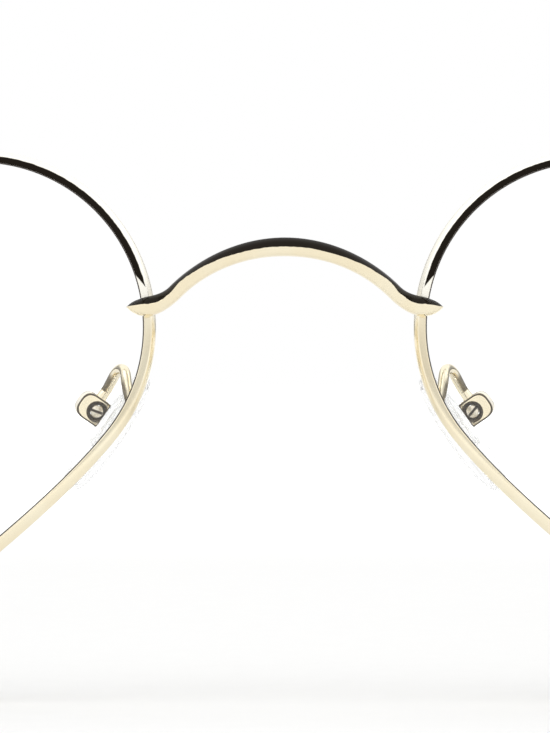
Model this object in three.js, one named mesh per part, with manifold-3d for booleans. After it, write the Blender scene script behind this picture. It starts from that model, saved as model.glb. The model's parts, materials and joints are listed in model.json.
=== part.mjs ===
// Heart-shaped metal eyeglasses with an arched bridge, screw-on nose pads and folding temples.
// Millimetres, +Z up. The front faces -Y and the temples run back along +Y.
// Left and right are the wearer's.
// One side is modelled at +X, the wearer's left, and its mirror image is the right side.
import * as THREE from 'three';
import { mergeVertices } from 'three/addons/utils/BufferGeometryUtils.js';
import Module from 'manifold-3d';

const wasm = await Module();
wasm.setup();

// Heart outline, along the middle of the eyewire. Height 0 is the level of the bridge's feet.
const HEART_WIDTH = 51;
const LOBE_RADIUS = 12.75;
const WIDEST_DROP = 1.5;
const LOBE_TURN = THREE.MathUtils.degToRad(39);
const CLEFT_DEPTH = 5.3;
const CLEFT_FILLET = 1.6;
const HEART_DROP = 29;
const HEART_TIP_HALF_ANGLE = THREE.MathUtils.degToRad(47);
const HEART_TIP_FILLET = 2;
const FLANK_UPPER_PULL = 8.5;
const FLANK_LOWER_PULL = 8;

// Eyewire and lens
const RIM_WIDTH = 0.85;
const RIM_DEPTH = 2;
const RIM_EDGE = 0.22;
const RIM_FRONT_BEVEL = 0.3;
const GROOVE_WIDTH = 1;
const GROOVE_DEPTH = 0.35;
const RIM_SPLIT = 0.3;
const LENS_THICKNESS = 1.4;
const LENS_CURVE_RADIUS = 130;
const BEVEL_HEIGHT = 0.4;
const WRAP_ANGLE = THREE.MathUtils.degToRad(4);

// Bridge
const BRIDGE_GAP = 20;
const BRIDGE_RISE = 4.45;
const BRIDGE_FOOT_RADIUS = 3.8;
const BRIDGE_FOOT_LEVEL = 0.8;
const BRIDGE_LEAF = 1.7;
const BRIDGE_DEPTH = 1.5;
const BRIDGE_LEAF_DEPTH = 0.7;
const BRIDGE_BOW = 0.6;
const BRIDGE_APEX_HEIGHT = 1.45;
const BRIDGE_WAIST_HEIGHT = 1.2;
const BRIDGE_FOOT_HEIGHT = 1.5;
const BRIDGE_POINT_HEIGHT = 0.14;
const BRIDGE_LEAF_POWER = 0.75;

// Endpiece and rim lock
const STRAP_THICKNESS = 1.2;
const STRAP_HEIGHT = 2.6;
const ENDPIECE_REACH = 5.6;
const ENDPIECE_DEPTH = 7.6;
const ENDPIECE_BEND = 3.2;
const LOCK_RADIUS = 1.1;
const LOCK_HEIGHT = 2.1;
const RIM_SCREW_RADIUS = 0.5;
const RIM_SCREW_HEAD_RADIUS = 0.85;
const RIM_SCREW_HEAD_HEIGHT = 0.45;

// Hinge
const KNUCKLE_RADIUS = 1;
const KNUCKLE_HEIGHT = 1.15;
const LEAF_THICKNESS = 0.6;
const LEAF_HEIGHT = 2;
const FRONT_LEAF_LENGTH = 2.8;
const TEMPLE_LEAF_LENGTH = 4.5;
const HINGE_SCREW_RADIUS = 0.55;
const HINGE_SCREW_HEAD_RADIUS = 0.9;
const HINGE_SCREW_HEAD_HEIGHT = 0.5;

// Temple and its tip
const TEMPLE_STRAIGHT = 104;
const TEMPLE_DROOP = THREE.MathUtils.degToRad(5);
const TEMPLE_CORE_HEIGHT = 1.5;
const TEMPLE_EDGE = 0.25;
const TEMPLE_TAPER_START = 20;
const TIP_BEND_RADIUS = 24;
const TIP_ANGLE = THREE.MathUtils.degToRad(47);
const TIP_LENGTH = 48;
const TIP_MOUTH_HEIGHT = 3;
const TIP_MOUTH_THICKNESS = 2.4;
const TIP_END_HEIGHT = 4.6;
const TIP_END_THICKNESS = 2.8;
const TIP_SOLID_END = 9;
const TIP_INWARD = 2.4;

// Nose pad, its box and its arm
const PAD_ARM_DIAMETER = 0.8;
const PAD_ARM_DROP = 7.4;
const PAD_ARM_LOOP = 2.75;
const PAD_ARM_STUB = 0.6;
const PAD_ARM_RISE_BACK = 0.1;
const PAD_ARM_TOP_BACK = 0.33;
const PAD_ARM_TOP_OUT = 0.27;
const PAD_ARM_END = 0.1;
const PAD_OUT = 2.8;
const PAD_DOWN = 0.3;
const PAD_BACK = 3.9;
const PAD_SPLAY = THREE.MathUtils.degToRad(35);
const PAD_TURN = THREE.MathUtils.degToRad(9);
const PAD_BOX_HALF_HEIGHT = 1;
const PAD_BOX_OUTER = 1.5;
const PAD_BOX_INNER = 0.62;
const PAD_BOX_WALL = 0.65;
const PAD_BOX_WEB = 0.5;
const PAD_SCREW_RADIUS = 0.4;
const PAD_SCREW_HEAD_RADIUS = 0.58;
const PAD_TAB_THICKNESS = 0.9;
const PAD_TAB_RADIUS = 0.8;
const PAD_ROCK_ROOM = 0.3;
const PAD_LENGTH = 10.4;
const PAD_WIDTH = 6.4;
const PAD_THICKNESS = 1.9;
const PAD_HANG = 0.9;
const PAD_NARROWING = 0.16;
const PAD_PLATE_LENGTH = 4.6;
const PAD_PLATE_WIDTH = 2.6;
const PAD_PLATE_THICKNESS = 0.5;

// Slots and clearances
const SCREW_SLOT_WIDTH = 0.2;
const SCREW_SLOT_DEPTH = 0.2;
const SEAT_GAP = 0.06;
const RUNNING_GAP = 0.07;
const BEVEL_GAP = 0.1;

const ROUND_SIDES = 24;
const QUARTER = Math.PI / 2;

const GOLD = { color: 0xf3e3b4, metalness: 1, roughness: 0.16 };
const STEEL = { color: 0xcfcac0, metalness: 1, roughness: 0.25 };
const CLEAR_LENS = { color: 0xf4f8f8, metalness: 0, roughness: 0.03 };
const CLEAR_SILICONE = { color: 0xf1f0ec, metalness: 0, roughness: 0.2 };
const CLEAR_PLASTIC = { color: 0xe9eded, metalness: 0, roughness: 0.08 };
const BLACK_PLASTIC = { color: 0x151313, metalness: 0, roughness: 0.22 };

// Levels and places that follow from the sizes above
const heartHalf = HEART_WIDTH / 2;
const heartAxisX = BRIDGE_GAP / 2 + heartHalf;
const lobeX = heartHalf - LOBE_RADIUS;
const lobeTop = LOBE_RADIUS - WIDEST_DROP;
const heartMiddle = (lobeTop - HEART_DROP) / 2;
const floorLevel = -HEART_DROP - RIM_WIDTH / 2;

const rimOuterX = heartAxisX + heartHalf + RIM_WIDTH / 2;
const endpieceFront = eyeSurface(heartHalf, -WIDEST_DROP) - RIM_DEPTH / 2;
const endpieceStart = rimOuterX + SEAT_GAP;
const strapOuterX = endpieceStart + ENDPIECE_REACH;
const strapInnerX = strapOuterX - STRAP_THICKNESS;
const hingeX = strapInnerX - SEAT_GAP - KNUCKLE_RADIUS;
const hingeY = endpieceFront + ENDPIECE_DEPTH;

// How far back the eyewire's middle lies: the lens's base curve and the frame's wrap together.
function eyeSurface(x, z) {
  const reach = Math.hypot(x, z - heartMiddle);
  const sag = LENS_CURVE_RADIUS - Math.sqrt(LENS_CURVE_RADIUS ** 2 - reach ** 2);
  return sag + Math.tan(WRAP_ANGLE) * (x + heartHalf);
}

// Points along an arc, each with the direction that faces out of the heart.
function arcPoints(centreX, centreZ, radius, from, to, steps, facing) {
  return Array.from({ length: steps + 1 }, (_, i) => {
    const angle = THREE.MathUtils.lerp(from, to, i / steps);
    const across = Math.cos(angle);
    const up = Math.sin(angle);
    return {
      x: centreX + radius * across,
      z: centreZ + radius * up,
      outX: facing * across,
      outZ: facing * up,
    };
  });
}

// The outer half of the heart from the cleft to the tip, in two runs that the eyewire's split parts.
function halfHeart() {
  const cleftRadius = (lobeX ** 2 + CLEFT_DEPTH ** 2) / (2 * CLEFT_DEPTH);
  const cleftZ = lobeTop - cleftRadius;
  const filletZ = cleftZ + Math.sqrt((cleftRadius + CLEFT_FILLET) ** 2 - lobeX ** 2);
  const meet = Math.atan2(filletZ - cleftZ, -lobeX);
  const split = RIM_SPLIT / 2 / LOBE_RADIUS;
  const above = [
    ...arcPoints(0, filletZ, CLEFT_FILLET, -QUARTER, meet - Math.PI, 3, -1).slice(0, -1),
    ...arcPoints(lobeX, cleftZ, cleftRadius, meet, QUARTER, 6, 1).slice(0, -1),
    ...arcPoints(lobeX, -WIDEST_DROP, LOBE_RADIUS, QUARTER, split, 9, 1),
  ];

  const lobeEnd = arcPoints(lobeX, -WIDEST_DROP, LOBE_RADIUS, -split, -LOBE_TURN, 4, 1);
  const tipZ = HEART_TIP_FILLET - HEART_DROP;
  const tip = arcPoints(0, tipZ, HEART_TIP_FILLET, -HEART_TIP_HALF_ANGLE, -QUARTER, 3, 1);
  const from = new THREE.Vector2(lobeEnd.at(-1).x, lobeEnd.at(-1).z);
  const to = new THREE.Vector2(tip[0].x, tip[0].z);
  const away = new THREE.Vector2(-Math.sin(LOBE_TURN), -Math.cos(LOBE_TURN));
  const arrive = new THREE.Vector2(-Math.sin(HEART_TIP_HALF_ANGLE), -Math.cos(HEART_TIP_HALF_ANGLE));
  const flank = new THREE.CubicBezierCurve(
    from,
    from.clone().addScaledVector(away, FLANK_UPPER_PULL),
    to.clone().addScaledVector(arrive, -FLANK_LOWER_PULL),
    to,
  );
  const flankSteps = 10;
  const flankPoints = Array.from({ length: flankSteps - 1 }, (_, i) => {
    const t = (i + 1) / flankSteps;
    const point = flank.getPoint(t);
    const along = flank.getTangent(t);
    return { x: point.x, z: point.y, outX: -along.y, outZ: along.x };
  });
  return { above, below: [...lobeEnd, ...flankPoints, ...tip] };
}

const mirrored = (p) => ({ ...p, x: -p.x, outX: -p.outX });
const { above, below } = halfHeart();
const innerHalf = [...above, ...below].map(mirrored);
// The eyewire starts over its split, goes round by the cleft and the tip, and ends under the split.
const rimPath = [...above.toReversed(), ...innerHalf.slice(1), ...below.toReversed().slice(1)];

// A place beside the eyewire's middle: out of the heart, and back along +Y.
function besideRim(point, out, back) {
  const x = point.x + point.outX * out;
  const z = point.z + point.outZ * out;
  return new THREE.Vector3(heartAxisX + x, eyeSurface(x, z) + back, z);
}

// The point of the eyewire's inner side at a height between its widest point and the end of the lobe.
function innerRimPoint(height) {
  const angle = Math.PI + Math.asin((-WIDEST_DROP - height) / LOBE_RADIUS);
  return arcPoints(-lobeX, -WIDEST_DROP, LOBE_RADIUS, angle, angle, 1, 1)[0];
}

function signedVolume(positions, index) {
  const corner = (i) => new THREE.Vector3().fromArray(positions, 3 * index[i]);
  let volume = 0;
  for (let i = 0; i < index.length; i += 3) {
    volume += corner(i).dot(corner(i + 1).cross(corner(i + 2))) / 6;
  }
  return volume;
}

// Triangles that fill an outline, each turning the way the outline turns.
function fillOutline(outline) {
  const turn = THREE.ShapeUtils.area(outline);
  const follows = (triangle) => turn * THREE.ShapeUtils.area(triangle.map((i) => outline[i])) > 0;
  const triangles = THREE.ShapeUtils.triangulateShape(outline, []);
  return triangles.map((triangle) => (follows(triangle) ? triangle : triangle.toReversed()));
}

// A closed skin over a row of rings that have the same number of points, capped at both ends.
function loft(rings, capOutline) {
  const count = rings[0].length;
  const positions = rings.flat().flatMap((p) => [p.x, p.y, p.z]);
  const index = [];
  for (let start = 0; start < count * (rings.length - 1); start += count) {
    for (let i = 0; i < count; i += 1) {
      const a = start + i;
      const b = start + ((i + 1) % count);
      index.push(a, b, a + count, b, b + count, a + count);
    }
  }
  const last = count * (rings.length - 1);
  for (const [a, b, c] of fillOutline(capOutline)) {
    index.push(a, c, b, last + a, last + b, last + c);
  }
  if (signedVolume(positions, index) < 0) {
    index.reverse();
  }
  const geometry = new THREE.BufferGeometry();
  geometry.setAttribute('position', new THREE.Float32BufferAttribute(positions, 3));
  geometry.setIndex(index);
  return geometry;
}

function solid(geometry) {
  const bare = geometry.clone();
  bare.deleteAttribute('normal');
  bare.deleteAttribute('uv');
  const merged = mergeVertices(bare);
  const vertProperties = merged.attributes.position.array;
  const triVerts = Uint32Array.from(merged.index.array);
  return new wasm.Manifold(new wasm.Mesh({ numProp: 3, vertProperties, triVerts }));
}

function fromSolid(manifold) {
  const { vertProperties, triVerts } = manifold.getMesh();
  const geometry = new THREE.BufferGeometry();
  geometry.setAttribute('position', new THREE.Float32BufferAttribute(vertProperties, 3));
  geometry.setIndex(Array.from(triVerts));
  return geometry;
}

function block(from, to) {
  const size = new THREE.Vector3().subVectors(to, from);
  const middle = new THREE.Vector3().addVectors(from, to).multiplyScalar(0.5);
  return new THREE.BoxGeometry(size.x, size.y, size.z).translate(middle.x, middle.y, middle.z);
}

const at = (x, y, z) => new THREE.Vector3(x, y, z);

// A round bar along Z.
function post(radius, bottom, top) {
  const bar = new THREE.CylinderGeometry(radius, radius, top - bottom, ROUND_SIDES);
  return bar.rotateX(QUARTER).translate(0, 0, (bottom + top) / 2);
}

// A slotted screw on the Z axis: the head sits above height 0 and the shank hangs below it.
function slottedScrew(shankRadius, shankLength, headRadius, headHeight) {
  const slot = block(
    at(-headRadius * 2, -SCREW_SLOT_WIDTH / 2, headHeight - SCREW_SLOT_DEPTH),
    at(headRadius * 2, SCREW_SLOT_WIDTH / 2, headHeight * 2),
  );
  const shank = solid(post(shankRadius, -shankLength, headHeight / 2));
  const head = solid(post(headRadius, 0, headHeight));
  return fromSolid(shank.add(head).subtract(solid(slot)));
}

// Corners of a rectangle with rounded edges, three points to a corner.
function roundedRectangle(width, height, edge) {
  const corners = [[1, 1, 0], [-1, 1, 1], [-1, -1, 2], [1, -1, 3]];
  return corners.flatMap(([sideX, sideY, turn]) =>
    [0, 0.5, 1].map((part) => {
      const angle = (turn + part) * QUARTER;
      const x = sideX * (width / 2 - edge) + edge * Math.cos(angle);
      const y = sideY * (height / 2 - edge) + edge * Math.sin(angle);
      return new THREE.Vector2(x, y);
    }),
  );
}

// Eyewire section: across the wire and front to back, with a V groove on the lens's side and a wider bevel
// on the outer edge of its front.
function rimSection() {
  const inside = -RIM_WIDTH / 2;
  const outside = RIM_WIDTH / 2;
  const face = RIM_DEPTH / 2;
  const mouth = GROOVE_WIDTH / 2;
  return [
    new THREE.Vector2(inside, -mouth),
    new THREE.Vector2(inside, RIM_EDGE - face),
    new THREE.Vector2(inside + RIM_EDGE, -face),
    new THREE.Vector2(outside - RIM_FRONT_BEVEL, -face),
    new THREE.Vector2(outside, RIM_FRONT_BEVEL - face),
    new THREE.Vector2(outside, face - RIM_EDGE),
    new THREE.Vector2(outside - RIM_EDGE, face),
    new THREE.Vector2(inside + RIM_EDGE, face),
    new THREE.Vector2(inside, face - RIM_EDGE),
    new THREE.Vector2(inside, mouth),
    new THREE.Vector2(inside + GROOVE_DEPTH, 0),
  ];
}

function makeRim() {
  const section = rimSection();
  const rings = rimPath.map((point) => section.map((corner) => besideRim(point, corner.x, corner.y)));
  return loft(rings, section);
}

// The lens's bevel sits in the groove, and its faces end in a shoulder just inside the eyewire.
function makeLens() {
  const bevelOut = -RIM_WIDTH / 2 + GROOVE_DEPTH - BEVEL_GAP;
  const shoulderOut = bevelOut - BEVEL_HEIGHT;
  const face = LENS_THICKNESS / 2;
  const outline = [...above, ...below, ...innerHalf.slice(1, -1).toReversed()];
  const shoulder = outline.map((p) => ({ x: p.x + p.outX * shoulderOut, z: p.z + p.outZ * shoulderOut }));
  const scaled = (share, back) =>
    shoulder.map((p) => {
      const x = p.x * share;
      const z = heartMiddle + (p.z - heartMiddle) * share;
      return at(heartAxisX + x, eyeSurface(x, z) + back, z);
    });
  const shares = [0.3, 0.65, 1];
  const rings = [
    ...shares.map((share) => scaled(share, -face)),
    outline.map((p) => besideRim(p, bevelOut, 0)),
    ...shares.toReversed().map((share) => scaled(share, face)),
  ];
  return loft(rings, shoulder.map((p) => new THREE.Vector2(p.x, p.z)));
}

// The bridge's middle line from the apex to the point of a leaf, with its thickness in front view.
function bridgeHalf() {
  const level = BRIDGE_GAP / 2 + BRIDGE_FOOT_LEVEL;
  const slope = 2 * Math.atan(BRIDGE_RISE / level);
  const archRadius = level / Math.sin(slope) - BRIDGE_FOOT_RADIUS;
  const crossing = BRIDGE_GAP / 2;
  const waist = archRadius * Math.sin(slope);
  const ease = THREE.MathUtils.smoothstep;
  const mix = THREE.MathUtils.lerp;

  const thickness = (x) => {
    if (x < waist) {
      return mix(BRIDGE_APEX_HEIGHT, BRIDGE_WAIST_HEIGHT, ease(x, 0, waist));
    }
    if (x < crossing) {
      return mix(BRIDGE_WAIST_HEIGHT, BRIDGE_FOOT_HEIGHT, ease(x, waist, crossing));
    }
    const t = Math.min(1, (x - crossing) / BRIDGE_LEAF);
    return Math.max(BRIDGE_POINT_HEIGHT, BRIDGE_FOOT_HEIGHT * (1 - t * t) ** BRIDGE_LEAF_POWER);
  };
  const station = (x, z, tilt) => ({ x, z, tilt, height: thickness(x), crossing });

  const arch = Array.from({ length: 10 }, (_, i) => {
    const tilt = (slope * i) / 10;
    return station(archRadius * Math.sin(tilt), BRIDGE_RISE - archRadius * (1 - Math.cos(tilt)), tilt);
  });
  const foot = Array.from({ length: 6 }, (_, i) => {
    const tilt = slope * (1 - i / 6);
    const x = level - BRIDGE_FOOT_RADIUS * Math.sin(tilt);
    return station(x, BRIDGE_FOOT_RADIUS * (1 - Math.cos(tilt)), tilt);
  });
  const point = crossing + BRIDGE_LEAF;
  const leaf = Array.from({ length: 5 }, (_, i) => {
    const share = Math.sin((QUARTER * i) / 4);
    return station(mix(level, point, share), 0, 0);
  });
  return [...arch, ...foot, ...leaf];
}

// Each section has a ridge on its front: a steep facet above it and a nearly upright one below.
function makeBridge() {
  const half = bridgeHalf();
  const others = half.slice(1).map((s) => ({ ...s, x: -s.x, tilt: -s.tilt }));
  const stations = [...others.toReversed(), ...half];
  const footZ = -BRIDGE_FOOT_HEIGHT / 2;
  const rimFront = eyeSurface(RIM_WIDTH / 2 - heartHalf, footZ) - RIM_DEPTH / 2;
  const seat = rimFront - SEAT_GAP;

  const sectionOf = (height, depth) => [
    [-0.36 * height, 0],
    [0.36 * height, 0],
    [0.5 * height, -0.28 * depth],
    [0.34 * height, -0.66 * depth],
    [0.06 * height, -depth],
    [-0.4 * height, -0.9 * depth],
    [-0.5 * height, -0.6 * depth],
    [-0.5 * height, -0.3 * depth],
  ];
  const rings = stations.map(({ x, z, tilt, height, crossing }) => {
    const away = Math.abs(x);
    const bow = BRIDGE_BOW * Math.max(0, 1 - (away / crossing) ** 2);
    const past = THREE.MathUtils.clamp((away - crossing) / BRIDGE_LEAF, 0, 1);
    const depth = THREE.MathUtils.lerp(BRIDGE_DEPTH, BRIDGE_LEAF_DEPTH, past * past);
    return sectionOf(height, depth).map(([up, back]) =>
      at(x + up * Math.sin(tilt), seat - bow + back, z + up * Math.cos(tilt)),
    );
  });
  const cap = sectionOf(1, 1).map(([up, back]) => new THREE.Vector2(up, back));
  return loft(rings, cap);
}

// A strap that leaves the eyewire's outer side and turns back to the hinge.
function makeEndpiece() {
  const bendX = strapOuterX - ENDPIECE_BEND;
  const bendY = endpieceFront + ENDPIECE_BEND;
  const end = hingeY - RUNNING_GAP / 2;
  const outline = new THREE.Shape();
  outline.moveTo(endpieceStart, endpieceFront);
  outline.lineTo(bendX, endpieceFront);
  outline.absarc(bendX, bendY, ENDPIECE_BEND, -QUARTER, 0, false);
  outline.lineTo(strapOuterX, end);
  outline.lineTo(strapInnerX, end);
  outline.lineTo(strapInnerX, bendY);
  outline.absarc(bendX, bendY, ENDPIECE_BEND - STRAP_THICKNESS, 0, -QUARTER, true);
  outline.lineTo(endpieceStart, endpieceFront + STRAP_THICKNESS);
  const options = { depth: STRAP_HEIGHT, bevelEnabled: false, curveSegments: 8 };
  return new THREE.ExtrudeGeometry(outline, options).translate(0, 0, -STRAP_HEIGHT / 2);
}

// The rim lock stands behind the endpiece's front run, beside the eyewire's split.
const lockX = endpieceStart + LOCK_RADIUS;
const lockY = endpieceFront + STRAP_THICKNESS + SEAT_GAP + LOCK_RADIUS;

// A barrel with a hole along Z, from height 0 up.
function makeRimLock() {
  const hole = post(RIM_SCREW_RADIUS + SEAT_GAP, -LOCK_HEIGHT, 2 * LOCK_HEIGHT);
  return fromSolid(solid(post(LOCK_RADIUS, 0, LOCK_HEIGHT)).subtract(solid(hole)));
}

// Middle height of the k-th knuckle up, counted -1, 0 and 1.
const knuckleLevel = (k) => k * (KNUCKLE_HEIGHT + RUNNING_GAP);

// A hinge leaf about the hinge axis: a plate on the strap's inner side and the knuckles that it carries.
function makeHingeLeaf(levels, plateLength, direction, droop) {
  const plateX = KNUCKLE_RADIUS - LEAF_THICKNESS;
  const near = KNUCKLE_RADIUS + RUNNING_GAP;
  const ends = [direction * near, direction * (near + plateLength)].sort((a, b) => a - b);
  const plate = block(
    at(plateX, ends[0], -LEAF_HEIGHT / 2),
    at(KNUCKLE_RADIUS, ends[1], LEAF_HEIGHT / 2),
  ).rotateX(-droop);
  const low = (level) => level - KNUCKLE_HEIGHT / 2;
  const high = (level) => level + KNUCKLE_HEIGHT / 2;
  const webEnds = [0, direction * (near + LEAF_THICKNESS)].sort((a, b) => a - b);
  let leaf = solid(plate);
  for (const level of levels) {
    const web = block(
      at(plateX, webEnds[0], low(level)),
      at(KNUCKLE_RADIUS, webEnds[1], high(level)),
    );
    leaf = leaf.add(solid(web)).add(solid(post(KNUCKLE_RADIUS, low(level), high(level))));
  }
  const tall = 4 * KNUCKLE_HEIGHT;
  return fromSolid(leaf.subtract(solid(post(HINGE_SCREW_RADIUS + RUNNING_GAP, -tall, tall))));
}

// The temple's middle line from the hinge: a drooping run, a bend, and a run that ends on the floor.
const bendTurn = TIP_ANGLE - TEMPLE_DROOP;
const bendLength = TIP_BEND_RADIUS * bendTurn;
const bendDrop = TIP_BEND_RADIUS * (Math.cos(TEMPLE_DROOP) - Math.cos(TIP_ANGLE));
const tipRound = TIP_END_HEIGHT / 2;
const roundDrop = -floorLevel - tipRound;
const tipRun = (roundDrop - TEMPLE_STRAIGHT * Math.sin(TEMPLE_DROOP) - bendDrop) / Math.sin(TIP_ANGLE);
const templeLength = TEMPLE_STRAIGHT + bendLength + tipRun + tipRound;
const tipMouth = templeLength - TIP_LENGTH;

function templeStation(distance) {
  const straight = Math.min(distance, TEMPLE_STRAIGHT);
  const bent = THREE.MathUtils.clamp(distance - TEMPLE_STRAIGHT, 0, bendLength);
  const run = Math.max(0, distance - TEMPLE_STRAIGHT - bendLength);
  const angle = TEMPLE_DROOP + bent / TIP_BEND_RADIUS;
  const y =
    straight * Math.cos(TEMPLE_DROOP) +
    TIP_BEND_RADIUS * (Math.sin(angle) - Math.sin(TEMPLE_DROOP)) +
    run * Math.cos(TIP_ANGLE);
  const drop =
    straight * Math.sin(TEMPLE_DROOP) +
    TIP_BEND_RADIUS * (Math.cos(TEMPLE_DROOP) - Math.cos(angle)) +
    run * Math.sin(TIP_ANGLE);
  const past = Math.max(0, distance - TEMPLE_STRAIGHT) / (templeLength - TEMPLE_STRAIGHT);
  const inward = TIP_INWARD * past ** 2;
  return { x: strapOuterX - STRAP_THICKNESS / 2 - inward, y: hingeY + y, z: -drop, angle };
}

// A section set square to the temple's middle line, at a distance along it.
function templeRing(distance, section) {
  const { x, y, z, angle } = templeStation(distance);
  return section.map((p) => at(x + p.x, y + p.y * Math.sin(angle), z + p.y * Math.cos(angle)));
}

const evenSteps = (from, to, steps) =>
  Array.from({ length: steps + 1 }, (_, i) => THREE.MathUtils.lerp(from, to, i / steps));

const coreEnd = templeLength - TIP_SOLID_END;
const coreSteps = evenSteps(TEMPLE_STRAIGHT, coreEnd, 9);

function makeTemple() {
  const strip = roundedRectangle(STRAP_THICKNESS, STRAP_HEIGHT, TEMPLE_EDGE);
  const core = roundedRectangle(STRAP_THICKNESS, TEMPLE_CORE_HEIGHT, TEMPLE_EDGE);
  // The front end is cut upright, square to the endpiece that it closes against.
  const frontY = hingeY + RUNNING_GAP / 2;
  const front = strip.map((p) => at(strapOuterX - STRAP_THICKNESS / 2 + p.x, frontY, p.y));
  const rings = [
    front,
    templeRing(TEMPLE_TAPER_START, strip),
    templeRing(tipMouth - SEAT_GAP, core),
    ...coreSteps.map((distance) => templeRing(distance, core)),
  ];
  return loft(rings, strip);
}

// A sleeve over the temple's core, open at its mouth, that swells towards a rounded end.
function makeTempleTip() {
  const gap = 2 * SEAT_GAP;
  const bore = roundedRectangle(STRAP_THICKNESS + gap, TEMPLE_CORE_HEIGHT + gap, TEMPLE_EDGE + SEAT_GAP);
  const outside = (distance, share) => {
    const t = (distance - tipMouth) / TIP_LENGTH;
    const height = THREE.MathUtils.lerp(TIP_MOUTH_HEIGHT, TIP_END_HEIGHT, t) * share;
    const thickness = THREE.MathUtils.lerp(TIP_MOUTH_THICKNESS, TIP_END_THICKNESS, t) * share;
    return templeRing(distance, roundedRectangle(thickness, height, 0.42 * thickness));
  };
  const boreEnd = coreEnd + 2 * SEAT_GAP;
  const endStart = templeLength - tipRound;
  const end = [0.25, 0.5, 0.75, 0.92].map((t) => outside(endStart + tipRound * t, Math.sqrt(1 - t * t)));
  const rings = [
    templeRing(boreEnd, bore),
    ...coreSteps.toReversed().slice(1).map((distance) => templeRing(distance, bore)),
    templeRing(tipMouth, bore),
    outside(tipMouth, 1),
    ...evenSteps(TEMPLE_STRAIGHT, endStart, 9).map((distance) => outside(distance, 1)),
    ...end,
  ];
  return loft(rings, bore);
}

// The pad's own frame: X towards the nose, Y to the front along the pad screw, Z up along the pad.
const armRootPoint = innerRimPoint(-PAD_ARM_DROP);
const armRoot = besideRim(armRootPoint, 0, RIM_DEPTH / 2 + SEAT_GAP);
const padPlace = at(armRoot.x + PAD_OUT, armRoot.y + PAD_BACK, armRoot.z - PAD_DOWN);
const padUp = at(-Math.sin(PAD_SPLAY), 0, Math.cos(PAD_SPLAY));
const padToNose = at(
  -Math.cos(PAD_SPLAY) * Math.cos(PAD_TURN),
  Math.sin(PAD_TURN),
  -Math.sin(PAD_SPLAY) * Math.cos(PAD_TURN),
);
const padFrame = new THREE.Matrix4().makeBasis(
  padToNose,
  new THREE.Vector3().crossVectors(padUp, padToNose),
  padUp,
);
padFrame.setPosition(padPlace);

const padBack = PAD_BOX_INNER + PAD_ROCK_ROOM;
const slotHalf = PAD_TAB_THICKNESS / 2 + RUNNING_GAP;
const padBoxHalfDepth = slotHalf + PAD_BOX_WALL;

// A bar along the pad screw, between two distances to the front.
const alongScrew = (radius, from, to) => post(radius, from, to).rotateX(-QUARTER);

// A cup with two walls and a web on its outer side; the pad's tab goes in from the nose's side.
function makePadBox() {
  const outline = new THREE.Shape();
  const bend = PAD_BOX_HALF_HEIGHT * 0.7;
  outline.moveTo(PAD_BOX_INNER, -PAD_BOX_HALF_HEIGHT);
  outline.lineTo(PAD_BOX_INNER, PAD_BOX_HALF_HEIGHT);
  outline.lineTo(bend - PAD_BOX_OUTER, PAD_BOX_HALF_HEIGHT);
  outline.absarc(bend - PAD_BOX_OUTER, PAD_BOX_HALF_HEIGHT - bend, bend, QUARTER, Math.PI, false);
  outline.absarc(bend - PAD_BOX_OUTER, bend - PAD_BOX_HALF_HEIGHT, bend, Math.PI, 3 * QUARTER, false);
  const options = { depth: 2 * padBoxHalfDepth, bevelEnabled: false, curveSegments: 6 };
  const body = new THREE.ExtrudeGeometry(outline, options);
  body.translate(0, 0, -padBoxHalfDepth).rotateX(QUARTER);
  const far = 4 * PAD_BOX_HALF_HEIGHT;
  const slot = block(at(PAD_BOX_WEB - PAD_BOX_OUTER, -slotHalf, -far), at(far, slotHalf, far));
  const headHole = alongScrew(PAD_SCREW_HEAD_RADIUS + SEAT_GAP, 0, far);
  const shankHole = alongScrew(PAD_SCREW_RADIUS + SEAT_GAP, -far, 0);
  return fromSolid(
    solid(body).subtract(solid(slot)).subtract(solid(headHole)).subtract(solid(shankHole)),
  );
}

// The pad screw's head is sunk in the box's front wall.
function makePadScrew() {
  const headHeight = PAD_BOX_WALL - SEAT_GAP;
  const shankLength = padBoxHalfDepth + slotHalf;
  const screw = slottedScrew(PAD_SCREW_RADIUS, shankLength, PAD_SCREW_HEAD_RADIUS, headHeight);
  return screw.translate(0, 0, slotHalf).rotateX(-QUARTER);
}

// An oval ring about the pad's X axis, at a depth from the pad screw towards the nose.
function ovalRing(length, width, depth, narrowing, shift) {
  return Array.from({ length: ROUND_SIDES }, (_, i) => {
    const angle = (2 * Math.PI * i) / ROUND_SIDES;
    const across = (width / 2) * (1 - narrowing * Math.cos(angle)) * Math.sin(angle);
    return at(depth, across, (length / 2) * Math.cos(angle) + shift);
  });
}

const ovalOutline = ovalRing(PAD_LENGTH, PAD_WIDTH, 0, 0, 0).map((p) => new THREE.Vector2(p.z, p.y));

// An oval plate that lies in the pad's back, with a round-ended tab on the pad screw.
function makePadInsert() {
  const plateNear = padBack + SEAT_GAP;
  const plateFar = plateNear + PAD_PLATE_THICKNESS;
  const halfTab = PAD_TAB_THICKNESS / 2;
  const plateRing = (depth) => ovalRing(PAD_PLATE_LENGTH, PAD_PLATE_WIDTH, depth, 0, 0);
  const plate = loft([plateRing(plateNear), plateRing(plateFar)], ovalOutline);
  const tab = block(at(0, -halfTab, -PAD_TAB_RADIUS), at(plateFar, halfTab, PAD_TAB_RADIUS));
  const end = alongScrew(PAD_TAB_RADIUS, -halfTab, halfTab);
  const hole = alongScrew(PAD_SCREW_RADIUS + RUNNING_GAP, -PAD_TAB_THICKNESS, PAD_TAB_THICKNESS);
  return fromSolid(solid(plate).add(solid(tab)).add(solid(end)).subtract(solid(hole)));
}

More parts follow.
